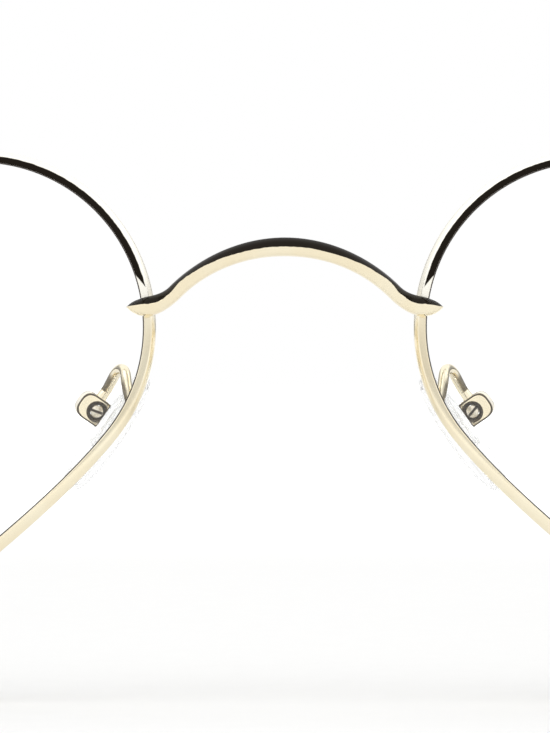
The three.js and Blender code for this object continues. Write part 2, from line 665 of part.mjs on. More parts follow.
// A soft oval, crowned on the nose's side, with a pocket in its back for the insert's plate.
function makeNosePad() {
  const pocketFloor = PAD_PLATE_THICKNESS + 2 * SEAT_GAP;
  const pocketLength = PAD_PLATE_LENGTH + 2 * SEAT_GAP;
  const pocketWidth = PAD_PLATE_WIDTH + 2 * SEAT_GAP;
  const pocket = (depth) => ovalRing(pocketLength, pocketWidth, padBack + depth, 0, 0);
  const skin = (share, depth) => {
    const reach = padBack + depth * PAD_THICKNESS;
    return ovalRing(PAD_LENGTH * share, PAD_WIDTH * share, reach, PAD_NARROWING, -PAD_HANG);
  };
  const rings = [
    pocket(pocketFloor),
    pocket(0),
    skin(0.84, 0),
    skin(0.97, 0.2),
    skin(1, 0.45),
    skin(0.92, 0.75),
    skin(0.7, 0.93),
    skin(0.35, 1),
  ];
  return loft(rings, ovalOutline);
}

// A wire that climbs close behind the eyewire, loops back and comes down on the pad box's rear wall.
// The pad's upper edge has room to rock behind the climbing part. The rise and the top are placed by their
// share of the way back, and the top by its share of the way out, from the arm's root to the box.
function makePadArm() {
  const wallMiddle = slotHalf + PAD_BOX_WALL / 2;
  const end = at(-PAD_ARM_END, -wallMiddle, PAD_BOX_HALF_HEIGHT + SEAT_GAP).applyMatrix4(padFrame);
  const stub = at(armRoot.x, armRoot.y + PAD_ARM_STUB, armRoot.z);
  const drop = end.clone().addScaledVector(padUp, PAD_ARM_STUB);
  const wayBack = (share) => THREE.MathUtils.lerp(stub.y, end.y, share);
  const topX = THREE.MathUtils.lerp(armRoot.x, end.x, PAD_ARM_TOP_OUT);
  const top = at(topX, wayBack(PAD_ARM_TOP_BACK), armRoot.z + PAD_ARM_LOOP);
  const rise = at((armRoot.x + topX) / 2, wayBack(PAD_ARM_RISE_BACK), (armRoot.z + top.z) / 2);
  const halfway = (a, b) => new THREE.Vector3().addVectors(a, b).multiplyScalar(0.5);
  const path = new THREE.CatmullRomCurve3([
    armRoot,
    halfway(armRoot, stub),
    stub,
    rise,
    top,
    drop,
    halfway(drop, end),
    end,
  ]);
  const section = new THREE.Shape();
  section.absarc(0, 0, PAD_ARM_DIAMETER / 2, 0, 2 * Math.PI, false);
  return new THREE.ExtrudeGeometry(section, { steps: 20, extrudePath: path, curveSegments: 5 });
}

function named(name, geometry, finish) {
  const mesh = new THREE.Mesh(geometry, new THREE.MeshStandardMaterial(finish));
  mesh.name = name;
  return mesh;
}

// All the pieces of one side, named for the wearer's side.
function makeSide(name) {
  const side = new THREE.Group();
  side.add(named(`${name}_rim`, makeRim(), GOLD));
  side.add(named(`${name}_lens`, makeLens(), CLEAR_LENS));
  side.add(named(`${name}_endpiece`, makeEndpiece(), GOLD));

  const lock = new THREE.Group();
  lock.position.set(lockX, lockY, -WIDEST_DROP);
  const upperLock = named(`${name}_upper_rim_lock`, makeRimLock(), GOLD);
  upperLock.position.z = RIM_SPLIT / 2;
  const lowerLock = named(`${name}_lower_rim_lock`, makeRimLock(), GOLD);
  lowerLock.position.z = -RIM_SPLIT / 2 - LOCK_HEIGHT;
  const rimScrewLength = 2 * LOCK_HEIGHT + RIM_SPLIT;
  const rimScrew = named(
    `${name}_rim_screw`,
    slottedScrew(RIM_SCREW_RADIUS, rimScrewLength, RIM_SCREW_HEAD_RADIUS, RIM_SCREW_HEAD_HEIGHT),
    STEEL,
  );
  rimScrew.rotation.x = Math.PI;
  rimScrew.position.z = -RIM_SPLIT / 2 - LOCK_HEIGHT - SEAT_GAP;
  lock.add(upperLock, lowerLock, rimScrew);
  side.add(lock);

  const hinge = new THREE.Group();
  hinge.position.set(hingeX, hingeY, 0);
  const outerLevels = [knuckleLevel(-1), knuckleLevel(1)];
  const frontLeaf = makeHingeLeaf(outerLevels, FRONT_LEAF_LENGTH, -1, 0);
  const templeLeaf = makeHingeLeaf([knuckleLevel(0)], TEMPLE_LEAF_LENGTH, 1, TEMPLE_DROOP);
  const hingeHalf = knuckleLevel(1) + KNUCKLE_HEIGHT / 2;
  const hingeScrew = named(
    `${name}_hinge_screw`,
    slottedScrew(HINGE_SCREW_RADIUS, 2 * hingeHalf, HINGE_SCREW_HEAD_RADIUS, HINGE_SCREW_HEAD_HEIGHT),
    STEEL,
  );
  hingeScrew.position.z = hingeHalf + SEAT_GAP;
  hinge.add(named(`${name}_front_hinge_leaf`, frontLeaf, GOLD));
  hinge.add(named(`${name}_temple_hinge_leaf`, templeLeaf, GOLD));
  hinge.add(hingeScrew);
  side.add(hinge);

  side.add(named(`${name}_temple`, makeTemple(), GOLD));
  side.add(named(`${name}_temple_tip`, makeTempleTip(), BLACK_PLASTIC));

  side.add(named(`${name}_pad_arm`, makePadArm(), GOLD));
  const pad = new THREE.Group();
  pad.applyMatrix4(padFrame);
  pad.add(named(`${name}_pad_box`, makePadBox(), GOLD));
  pad.add(named(`${name}_pad_screw`, makePadScrew(), STEEL));
  pad.add(named(`${name}_pad_insert`, makePadInsert(), CLEAR_PLASTIC));
  pad.add(named(`${name}_nose_pad`, makeNosePad(), CLEAR_SILICONE));
  side.add(pad);
  return side;
}

const glasses = new THREE.Group();
const left = makeSide('left');
const right = makeSide('right');
right.scale.x = -1;
glasses.add(named('bridge', makeBridge(), GOLD), left, right);

// The origin is under the middle of the glasses, on the surface that they stand on.
const bounds = new THREE.Box3().setFromObject(glasses, true);
const middle = bounds.getCenter(new THREE.Vector3());
glasses.position.set(-middle.x, -middle.y, -bounds.min.z);

export default glasses;
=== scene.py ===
# %% [markdown]
# # Heart-shaped eyeglasses
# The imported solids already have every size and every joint, so this lesson only dresses them. Each
# plain solid is hidden behind a finer mesh that has the same place: wire with rounded edges, curved
# lenses, bevelled hinges. The work is done in millimetres, in the front's own frame, and each
# finished piece is then set in the shared frame in metres.

# %% Load the frame
import json
import math

import bmesh
import bpy
from mathutils import Matrix, Quaternion, Vector
from mathutils.geometry import interpolate_bezier


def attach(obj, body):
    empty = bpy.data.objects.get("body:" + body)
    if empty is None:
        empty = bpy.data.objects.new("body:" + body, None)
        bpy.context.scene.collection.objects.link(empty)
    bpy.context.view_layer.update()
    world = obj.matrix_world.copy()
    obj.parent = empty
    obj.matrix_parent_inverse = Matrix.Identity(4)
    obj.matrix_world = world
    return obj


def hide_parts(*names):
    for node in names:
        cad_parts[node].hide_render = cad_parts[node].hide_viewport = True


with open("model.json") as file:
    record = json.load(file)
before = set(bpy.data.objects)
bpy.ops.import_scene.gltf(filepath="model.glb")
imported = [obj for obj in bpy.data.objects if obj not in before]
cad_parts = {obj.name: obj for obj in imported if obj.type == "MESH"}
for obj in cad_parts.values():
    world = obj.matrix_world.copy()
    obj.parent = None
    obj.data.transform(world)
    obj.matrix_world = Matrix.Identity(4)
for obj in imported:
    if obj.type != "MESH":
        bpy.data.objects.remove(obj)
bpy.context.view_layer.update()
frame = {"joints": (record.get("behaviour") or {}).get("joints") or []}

# %% [markdown]
# ## Where the front is
# A lens is a slice of a big sphere, and the whole eyewire is bent to follow it, then turned back a
# little so that the front wraps round a face. One function says how far back any point of the
# eyewire lies. Everything else hangs on it: height 0 is the level of the bridge's feet, and the
# hinge joint in the frame tells where that level is in the shared frame, so nothing is fitted by
# eye.

# %% The eyewire's surface and the shared frame
MM = 0.001
HEART_WIDTH = 51.0
BRIDGE_GAP = 20.0
LOBE_RADIUS = 12.75
WIDEST_DROP = 1.5
HEART_DROP = 29.0
BASE_CURVE = 130.0
WRAP_SLOPE = math.tan(math.radians(4))
RIM_WIDTH = 0.85
RIM_DEPTH = 2.0
ENDPIECE_DEPTH = 7.6

HEART_HALF = HEART_WIDTH / 2
HEART_AXIS = BRIDGE_GAP / 2 + HEART_HALF
LOBE_X = HEART_HALF - LOBE_RADIUS
LOBE_TOP = LOBE_RADIUS - WIDEST_DROP
HEART_MIDDLE = (LOBE_TOP - HEART_DROP) / 2


def eye_surface(x, z):
    """How far back the eyewire's middle lies, at x from the heart's axis and z up."""
    reach = math.hypot(x, z - HEART_MIDDLE)
    sag = BASE_CURVE - math.sqrt(BASE_CURVE**2 - reach**2)
    return sag + WRAP_SLOPE * (x + HEART_HALF)


def joint_place(name):
    """A joint's place in the shared frame, in metres."""
    return next(joint["pos_m"] for joint in frame["joints"] if joint["name"] == name)


ENDPIECE_FRONT = eye_surface(HEART_HALF, -WIDEST_DROP) - RIM_DEPTH / 2
HINGE_Y = ENDPIECE_FRONT + ENDPIECE_DEPTH
fold = joint_place("left_temple_fold")
front_origin = Vector((0, fold[1] / MM - HINGE_Y, fold[2] / MM))
TO_FRAME = Matrix.Scale(MM, 4) @ Matrix.Translation(front_origin)
print("the front's origin in mm:", [round(v, 3) for v in front_origin])

# %% [markdown]
# ## Outlines and skins
# Most pieces are lofts: a row of outlines with a skin drawn over them, as a shipwright planks a
# hull. Sharp corners catch no light, so outlines get their corners rounded first. A skin has its
# doubles merged and its faces turned outwards as soon as it is made, because cutting and joining go
# wrong without that.

# %% Outline and skin helpers
CORNER_REACH = 0.45
SAME_PLACE = 0.0005


def even_steps(start, end, steps):
    """Values from start to end, both included, with even steps between them."""
    return [start + (end - start) * i / steps for i in range(steps + 1)]


def rounded(corners, radii, steps=4):
    """An outline whose corners are drawn as small curves, each with its own radius."""
    outline = []
    for i, radius in enumerate(radii):
        here = corners[i]
        before = corners[i - 1] - here
        after = corners[(i + 1) % len(corners)] - here
        reach = min(radius, CORNER_REACH * before.length, CORNER_REACH * after.length)
        start = here + before.normalized() * reach
        end = here + after.normalized() * reach
        for t in even_steps(0, 1, steps):
            outline.append(start * (1 - t) ** 2 + here * 2 * t * (1 - t) + end * t**2)
    return outline


def rounded_rectangle(width, height, radius, steps=4):
    halves = [(1, 1), (-1, 1), (-1, -1), (1, -1)]
    corners = [Vector((x * width / 2, y * height / 2)) for x, y in halves]
    return rounded(corners, [radius] * 4, steps)


def circle(radius, height, sides=48):
    turns = even_steps(0, 2 * math.pi, sides)[:-1]
    return [Vector((radius * math.cos(a), radius * math.sin(a), height)) for a in turns]


def cleaned(mesh):
    """The mesh with its doubles merged and all of its faces turned outwards."""
    shell = bmesh.new()
    shell.from_mesh(mesh)
    bmesh.ops.remove_doubles(shell, verts=shell.verts, dist=SAME_PLACE)
    bmesh.ops.recalc_face_normals(shell, faces=shell.faces)
    shell.to_mesh(mesh)
    shell.free()
    return mesh


def loft(rings):
    """A closed skin over rings of points, flat at both ends."""
    count = len(rings[0])
    points = [point for ring in rings for point in ring]
    last = len(points) - count
    faces = [tuple(range(count)), tuple(range(last, len(points)))]
    for start in range(0, last, count):
        for i in range(count):
            j = (i + 1) % count
            faces.append((start + i, start + j, start + count + j, start + count + i))
    mesh = bpy.data.meshes.new("loft")
    mesh.from_pydata(points, [], faces)
    return cleaned(mesh)


print("a rounded rectangle has", len(rounded_rectangle(2.0, 1.0, 0.2)), "points")

# %% [markdown]
# ## Cutting and joining
# Some pieces are easier to cut than to loft. Bars and blocks are joined or cut with Boolean
# modifiers on a bench object, and the evaluated result is kept as a plain mesh. The same bench runs
# a Bevel, which takes the sharpness off every edge of a cut piece, and Weighted Normal, which keeps
# large faces flat beside narrow bevels.

# %% Bench helpers
SHARP_ANGLE = math.radians(40)


def placed(name, data):
    """A new object in the scene."""
    made = bpy.data.objects.new(name, data)
    bpy.context.scene.collection.objects.link(made)
    return made


def evaluated_mesh(bench):
    """What the modifiers of a bench object make, as a plain mesh. The bench object goes."""
    graph = bpy.context.evaluated_depsgraph_get()
    mesh = bpy.data.meshes.new_from_object(bench.evaluated_get(graph))
    bpy.data.objects.remove(bench)
    return mesh


def modified(mesh, *modifiers):
    """The mesh after some modifiers, each given by its kind and its settings."""
    bench = placed("bench", mesh)
    for kind, settings in modifiers:
        modifier = bench.modifiers.new(kind, kind)
        for name, setting in settings.items():
            setattr(modifier, name, setting)
    return evaluated_mesh(bench)


def carved(mesh, operation, *tools):
    """The mesh with tools joined to it (UNION) or cut out of it (DIFFERENCE)."""
    helpers = [placed("tool", tool) for tool in tools]
    settings = {"operation": operation, "solver": "EXACT"}
    made = modified(mesh, *[("BOOLEAN", {**settings, "object": helper}) for helper in helpers])
    for helper in helpers:
        bpy.data.objects.remove(helper)
    return made


def softened(mesh, width, segments=2):
    """The mesh with its sharp edges bevelled."""
    settings = {"limit_method": "ANGLE", "angle_limit": SHARP_ANGLE}
    return modified(mesh, ("BEVEL", {**settings, "width": width, "segments": segments}))


def bar(radius, bottom, top, chamfer=0.0):
    """A round bar along Z, with its ends' edges taken off."""
    rings = [circle(radius, bottom + chamfer), circle(radius, top - chamfer)]
    if chamfer:
        rings = [circle(radius - chamfer, bottom), *rings, circle(radius - chamfer, top)]
    return loft(rings)


def block(low, high):
    corners = [(low[0], low[1]), (high[0], low[1]), (high[0], high[1]), (low[0], high[1])]
    return loft([[Vector((x, y, z)) for x, y in corners] for z in (low[2], high[2])])


# %% [markdown]
# ## Finishing a piece
# A finished piece is moved into metres, gets its finish and is hung on the body that it rides on,
# and the solids that it stands for are hidden. The two sides of the glasses are mirror images, so
# one call makes both. Mirroring turns a shape inside out, so it is cleaned once more.


def finish_piece(name, mesh, finish, body, nodes, crease=35, cut=False):
    """Sets a mesh that is in millimetres in the shared frame, as a finished piece on its body."""
    cleaned(mesh)
    mesh.transform(TO_FRAME)
    mesh.shade_smooth()
    mesh.set_sharp_from_angle(angle=math.radians(crease))
    mesh.materials.clear()
    mesh.materials.append(finish)
    if cut:
        mesh = modified(mesh, ("WEIGHTED_NORMAL", {"keep_sharp": True}))
    piece = placed(name, mesh)
    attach(piece, body)
    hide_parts(*nodes)
    print(f"{name}: {len(mesh.polygons)} faces, rides on {body}, stands for {', '.join(nodes)}")
    return piece


def finish_pair(kind, mesh, finish, body, node, crease=35, cut=False):
    """Makes a piece of the wearer's left side, at +X, and its mirror image."""
    mirror_image = mesh.copy()
    mirror_image.transform(Matrix.Diagonal((-1, 1, 1, 1)))
    pair = []
    for side, half in (("left", mesh), ("right", mirror_image)):
        rides_on = body.format(side=side)
        piece = finish_piece(f"{side}_{kind}", half, finish, rides_on, [f"{side}_{node}"], crease, cut)
        pair.append(piece)
    return pair


# %% [markdown]
# ## Writing nodes as Python
# A node tree gets long when every link is a line of code. A small class wraps a socket, so that
# writing `1 - mask` adds a Math node. Every other node comes from one method that takes the node's
# type, its settings and what goes into its sockets; the short methods after it only give names to
# what is used often. The same two classes serve materials and Geometry Nodes.


# %% A socket that takes operators
class Value:
    """A node's output. Python's operators on it add Math nodes to its tree."""

    def __init__(self, tree, socket):
        self.tree = tree
        self.socket = socket

    def __add__(self, other):
        return self.tree.math("ADD", self, other)

    def __radd__(self, other):
        return self.tree.math("ADD", other, self)

    def __sub__(self, other):
        return self.tree.math("SUBTRACT", self, other)

    def __rsub__(self, other):
        return self.tree.math("SUBTRACT", other, self)

    def __mul__(self, other):
        return self.tree.math("MULTIPLY", self, other)

    def __rmul__(self, other):
        return self.tree.math("MULTIPLY", other, self)

    def __truediv__(self, other):
        return self.tree.math("DIVIDE", self, other)

    def __pow__(self, other):
        return self.tree.math("POWER", self, other)


# %% A tree that takes nodes
class Tree:
    """A node tree, and the one method that adds a node to it."""

    def __init__(self, node_tree):
        self.node_tree = node_tree

    def add(self, kind, settings=None, inputs=None, take=0):
        node = self.node_tree.nodes.new(kind)
        for name, setting in (settings or {}).items():
            setattr(node, name, setting)
        for name, given in (inputs or {}).items():
            for item in given if isinstance(given, list) else [given]:
                if isinstance(item, Value):
                    self.node_tree.links.new(item.socket, node.inputs[name])
                else:
                    node.inputs[name].default_value = item
        return Value(self, node.outputs[take]) if len(node.outputs) else None

    def math(self, operation, *terms):
        return self.add("ShaderNodeMath", {"operation": operation}, dict(enumerate(terms)))

    def ramp(self, value, low, high):
        """0 below one value, 1 above another, and smooth between them."""
        settings = {"interpolation_type": "SMOOTHSTEP"}
        return self.add("ShaderNodeMapRange", settings, {0: value, 1: low, 2: high})

    def axis(self, vector, letter):
        return self.add("ShaderNodeSeparateXYZ", {}, {0: vector}, take=letter)

    def off_axis(self, vector):
        """How far a place is from the Z axis."""
        flat = self.add("ShaderNodeVectorMath", {"operation": "MULTIPLY"}, {0: vector, 1: (1, 1, 0)})
        return self.add("ShaderNodeVectorMath", {"operation": "LENGTH"}, {0: flat}, take="Value")

    def mix(self, factor, first, second):
        """A colour between two others."""
        settings = {"data_type": "RGBA"}
        return self.add("ShaderNodeMix", settings, {0: factor, 6: first, 7: second}, take=2)

    def noise(self, place, scale, detail=3.0):
        return self.add("ShaderNodeTexNoise", {}, {"Vector": place, "Scale": scale, "Detail": detail})

    def mark(self, name, take="Fac"):
        """What the mesh carries under a name for each of its points or faces."""
        return self.add("ShaderNodeAttribute", {"attribute_name": name}, take=take)

    def bump(self, strength, distance, height):
        inputs = {"Strength": strength, "Distance": distance, "Height": height}
        return self.add("ShaderNodeBump", {}, inputs)

    def ray(self, kind):
        return self.add("ShaderNodeLightPath", take=f"Is {kind} Ray")

    def seen(self):
        """1 for what the camera sees, straight or through something clear."""
        return self.ramp(self.ray("Camera") + self.ray("Transmission"), 0.0, 1.0)

    def gloss(self, inputs):
        return self.add("ShaderNodeBsdfPrincipled", {}, inputs)

    def surface(self, shader):
        self.add("ShaderNodeOutputMaterial", {}, {"Surface": shader})


def new_finish(name):
    """A material, its tree, and the place on the piece that its patterns follow."""
    material = bpy.data.materials.new(name)
    material.use_nodes = True
    material.node_tree.nodes.clear()
    tree = Tree(material.node_tree)
    return material, tree, tree.add("ShaderNodeTexCoord", take="Object")


# %% [markdown]
# ## Pale gold and black enamel
# The metal is polished and plated in a pale gold. Plating is never one tone: it drifts a little
# over a few millimetres and it has a fine polishing grain. Where the mesh marks a painted shade, in
# holes, on rounded edges of the pad boxes and on one side of the pad arms, the gold is painted
# darker and made duller. The upper front of the eyewires is painted black with enamel. The top of
# the bridge is painted black too, as a painted reflection: it stands in for the dark reflection
# that the top of a polished bar shows. The paint could be a second material on faces of its own,
# but then its edge would have to follow the mesh. Here it is a second layer of one material: the
# mesh carries two distances to the edge of the paint, one along the piece and one across it, and
# where both are positive metal turns black. The front bevel beside the eyewires' paint carries a
# painted highlight, gold painted almost white, which the mesh marks too.

# %% Gold finishes
GOLD_LIGHT = (0.95, 0.87, 0.67, 1)
GOLD_WARM = (0.93, 0.825, 0.6, 1)
# Painted highlight: gold painted almost white, on the eyewires' front bevel.
GOLD_HIGHLIGHT = (0.98, 0.95, 0.86, 1)
# Painted shade: the darker gold where the mesh marks shade.
GOLD_SHADE = (0.07, 0.05, 0.024, 1)
# Black enamel on the eyewires, and a painted reflection on the top of the bridge.
PAINT_BLACK = (0.011, 0.008, 0.005, 1)
PAINTED_SHADE_DEPTH = 0.97
# Distances to the edge of the paint, in millimetres.
PAINT_WANDER = 0.08
FADE_ALONG = 0.08
FADE_ACROSS = 0.025
HIGHLIGHT_FROM, HIGHLIGHT_FULL = -2.6, -1.2


def gold_finish(name, painted):
    material, tree, place = new_finish(name)
    drift = tree.noise(place, scale=240, detail=2.0)
    grain = tree.noise(place, scale=5200, detail=4.0)
    # Painted shade, marked in holes, on rounded edges and on one side of the pad arms: darker, duller
    # gold.
    recess = tree.mark("recess")
    tone = tree.mix(tree.ramp(drift, 0.3, 0.7), GOLD_LIGHT, GOLD_WARM)
    colour = tree.mix(recess * PAINTED_SHADE_DEPTH, tone, GOLD_SHADE)
    roughness = 0.1 + 0.08 * grain + 0.3 * recess
    metal = 1.0
    if painted:
        wander = PAINT_WANDER * (tree.noise(place, scale=2600) - 0.5)
        lengthwise = tree.ramp(tree.mark("paint_length") + wander, -FADE_ALONG, FADE_ALONG)
        crosswise = tree.ramp(tree.mark("paint_width") + wander, -FADE_ACROSS, FADE_ACROSS)
        # Black: enamel on the eyewires, a painted dark reflection on the bridge.
        blackened = lengthwise * crosswise
        # Painted highlight on the front bevel, beside the paint and on past its end towards the bridge.
        highlight = tree.mark("bare_edge") * tree.ramp(tree.mark("paint_length"), HIGHLIGHT_FROM, HIGHLIGHT_FULL)
        colour = tree.mix(blackened, tree.mix(highlight, colour, GOLD_HIGHLIGHT), PAINT_BLACK)
        roughness = (roughness + 0.25 * highlight) * (1 - blackened) + blackened * (0.12 + 0.1 * grain)
        metal = 1 - blackened
    shader = tree.gloss(
        {
            "Base Color": colour,
            "Metallic": metal,
            "Roughness": roughness,
            "IOR": 1.25,
            "Specular IOR Level": 0.16,
            "Normal": tree.bump(strength=0.12, distance=4e-6, height=grain),
        }
    )
    tree.surface(shader)
    return material


pale_gold = gold_finish("pale_gold", painted=False)
painted_gold = gold_finish("painted_gold", painted=True)
print("gold finishes:", pale_gold.name, painted_gold.name)

# %% [markdown]
# ## Clear lens, silicone and insert
# Three clear materials, told apart by how they bend and blur light. A lens is polished, apart from
# its ground edge, which is matt and carries a painted shade: it is coloured almost black, a thin
# dark line beside the eyewire where the groove shades it. Silicone is softer and a little hazy, and
# the insert is plain clear plastic. One Principled node with full transmission holds the tint, the
# haze and the bending of each. A clear piece lets lamps shine through it, so its shadow rays meet a
# Transparent shader; without that, Cycles would draw its shadow as if it were solid.

# %% Clear finishes
LENS_TINT = (0.992, 0.998, 0.996, 1)
SILICONE_TINT = (0.97, 0.968, 0.955, 1)
INSERT_TINT = (0.97, 0.975, 0.97, 1)
# Painted shade: the lens's ground edge is coloured almost black, as the groove shades it.
GROOVE_SHADE = (0.015, 0.012, 0.01, 1)
LIGHT_LET_BY = 0.9


def clear_finish(name, tint, haze, cloud_scale, ior, faint):
    """A clear material: haze is the least roughness and what clouds add, faint how thin it looks."""
    material, tree, place = new_finish(name)
    clouds = tree.noise(place, cloud_scale)
    # The ground edge is matt, and painted almost black as shade.
    ground = tree.mark("ground")
    paler = tuple(1 - 0.5 * (1 - channel) for channel in tint)
    colour = tree.mix(ground, tree.mix(clouds, tint, paler), GROOVE_SHADE)
    shader = tree.gloss(
        {
            "Base Color": colour,
            "Roughness": haze[0] + haze[1] * clouds + 0.5 * ground,
            "IOR": ior,
            "Transmission Weight": 1.0,
        }
    )
    share = faint + (LIGHT_LET_BY - faint) * tree.ray("Shadow")
    lets_by = tree.add("ShaderNodeBsdfTransparent")
    tree.surface(tree.add("ShaderNodeMixShader", {}, {0: share, 1: shader, 2: lets_by}))
    return material


polished_lens = clear_finish(
    "polished_lens", LENS_TINT, haze=(0.0, 0.015), cloud_scale=60, ior=1.5, faint=0.0
)
soft_silicone = clear_finish(
    "soft_silicone", SILICONE_TINT, haze=(0.06, 0.12), cloud_scale=900, ior=1.41, faint=0.5
)
moulded_insert = clear_finish(
    "moulded_insert", INSERT_TINT, haze=(0.02, 0.05), cloud_scale=1500, ior=1.58, faint=0.5
)
print("clear finishes:", polished_lens.name, soft_silicone.name, moulded_insert.name)

# %% [markdown]
# ## Turned steel and black plastic
# A screw's head is faced on a lathe, which leaves rings. A picture of rings could be laid on it,
# but a sine of the distance from the axis is sharp at any size. The screws carry their own
# coordinates for this, so the rings are centred on each screw wherever it sits. The temple tips are
# polished black plastic: almost no colour, so what shows is how sharply they reflect, with hairline
# scratches and a few duller, handled patches.

# %% Steel and plastic finishes
SLOT_HALF = 0.1
STEEL_DARK, STEEL_LIGHT = (0.7, 0.63, 0.5, 1), (0.88, 0.82, 0.7, 1)
SLOT_PAINTED_SHADE = (0.07, 0.055, 0.04, 1)
RING_FREQUENCY = 140.0
PLASTIC_BLACK, PLASTIC_HANDLED = (0.008, 0.007, 0.007, 1), (0.02, 0.018, 0.018, 1)
HAIRLINE_STRETCH = (1, 0.06, 1)


def steel_finish():
    material, tree, place = new_finish("turned_steel")
    spot = tree.mark("spot", take="Vector")
    rings = tree.math("SINE", tree.off_axis(spot) * RING_FREQUENCY)
    grain = tree.noise(place, scale=4200, detail=4.0)
    off_slot = tree.math("ABSOLUTE", tree.axis(spot, "Y"))
    # Painted shade: the slot is coloured dark.
    slot = 1 - tree.ramp(off_slot, 0.9 * SLOT_HALF, 1.1 * SLOT_HALF)
    shader = tree.gloss(
        {
            "Base Color": tree.mix(slot, tree.mix(grain, STEEL_DARK, STEEL_LIGHT), SLOT_PAINTED_SHADE),
            "Metallic": 1.0,
            "Roughness": 0.2 + 0.06 * rings + 0.1 * grain,
            "Normal": tree.bump(strength=0.3, distance=4e-6, height=rings + grain),
        }
    )
    tree.surface(shader)
    return material


def plastic_finish():
    material, tree, place = new_finish("black_plastic")
    handled = tree.noise(place, scale=130)
    along = tree.add("ShaderNodeMapping", {}, {"Vector": place, "Scale": HAIRLINE_STRETCH})
    hairlines = tree.noise(along, scale=7000)
    shader = tree.gloss(
        {
            "Base Color": tree.mix(handled, PLASTIC_BLACK, PLASTIC_HANDLED),
            "Roughness": 0.1 + 0.14 * handled + 0.08 * hairlines,
            "Coat Weight": 0.4,
            "Normal": tree.bump(strength=0.1, distance=5e-6, height=hairlines),
        }
    )
    tree.surface(shader)
    return material


turned_steel = steel_finish()
black_plastic = plastic_finish()
print("other finishes:", turned_steel.name, black_plastic.name)

# %% [markdown]
# ## The heart
# The outline could be traced point by point, but a traced line has small bumps, and polished metal
# shows them. So it is drawn as a spectacle maker would set it out, from arcs that run into each
# other: a small fillet in the cleft, a flat arc over the top, a round lobe, a flank with two pulls,
# and a small round at the tip. Only half of it is drawn, and the other half is its mirror image.
# The eyewire is one wire that starts above its split at the outer side, goes all the way round and
# ends below the split.

# %% Heart outline
LOBE_TURN = math.radians(39)
CLEFT_DEPTH = 5.3
CLEFT_FILLET = 1.6
TIP_HALF_ANGLE = math.radians(47)
TIP_FILLET = 2.0
FLANK_UPPER_PULL = 8.5
FLANK_LOWER_PULL = 8.0
RIM_SPLIT = 0.3
PATH_STEP = 0.35
FLANK_STEPS = 64
QUARTER = math.pi / 2


def arc(centre, radius, start, end):
    steps = max(3, math.ceil(abs(end - start) * radius / PATH_STEP))
    turns = even_steps(start, end, steps)
    return [centre + radius * Vector((math.cos(a), math.sin(a))) for a in turns]


def half_heart():
    """The outer half from the cleft to the split, and from the split to the tip."""
    top_radius = (LOBE_X**2 + CLEFT_DEPTH**2) / (2 * CLEFT_DEPTH)
    top_centre = Vector((LOBE_X, LOBE_TOP - top_radius))
    rise = math.sqrt((top_radius + CLEFT_FILLET) ** 2 - LOBE_X**2)
    meet = math.atan2(rise, -LOBE_X)
    lobe = Vector((LOBE_X, -WIDEST_DROP))
    split = RIM_SPLIT / 2 / LOBE_RADIUS
    cleft = arc(Vector((0, top_centre.y + rise)), CLEFT_FILLET, -QUARTER, meet - math.pi)
    over_top = arc(top_centre, top_radius, meet, QUARTER)
    above = cleft[:-1] + over_top[:-1] + arc(lobe, LOBE_RADIUS, QUARTER, split)

    lobe_end = arc(lobe, LOBE_RADIUS, -split, -LOBE_TURN)
    tip = arc(Vector((0, TIP_FILLET - HEART_DROP)), TIP_FILLET, -TIP_HALF_ANGLE, -QUARTER)
    leave = Vector((-math.sin(LOBE_TURN), -math.cos(LOBE_TURN)))
    arrive = Vector((-math.sin(TIP_HALF_ANGLE), -math.cos(TIP_HALF_ANGLE)))
    upper = lobe_end[-1] + FLANK_UPPER_PULL * leave
    lower = tip[0] - FLANK_LOWER_PULL * arrive
    flank = interpolate_bezier(lobe_end[-1], upper, lower, tip[0], FLANK_STEPS)
    return above, lobe_end[:-1] + [point.to_2d() for point in flank[:-1]] + tip


above_split, below_split = half_heart()
inner_half = [Vector((-p.x, p.y)) for p in above_split + below_split]
rim_path = above_split[::-1] + inner_half[1:] + below_split[::-1][1:]
lens_outline = above_split + below_split + inner_half[1:-1][::-1]
rim_length = sum((b - a).length for a, b in zip(rim_path, rim_path[1:]))
print(f"eyewire: {len(rim_path)} points, {rim_length:.1f} mm of wire")

# %% [markdown]
# ## Geometry Nodes that grow a mesh
# What follows a path or repeats is grown by Geometry Nodes. A small class makes a tree with named
# inputs, ends it in Realize Instances and Set Material, and runs it on an empty host: each input is
# set by its identifier, the host is evaluated, the result is kept as a plain mesh, and the host and
# the objects that it read go.


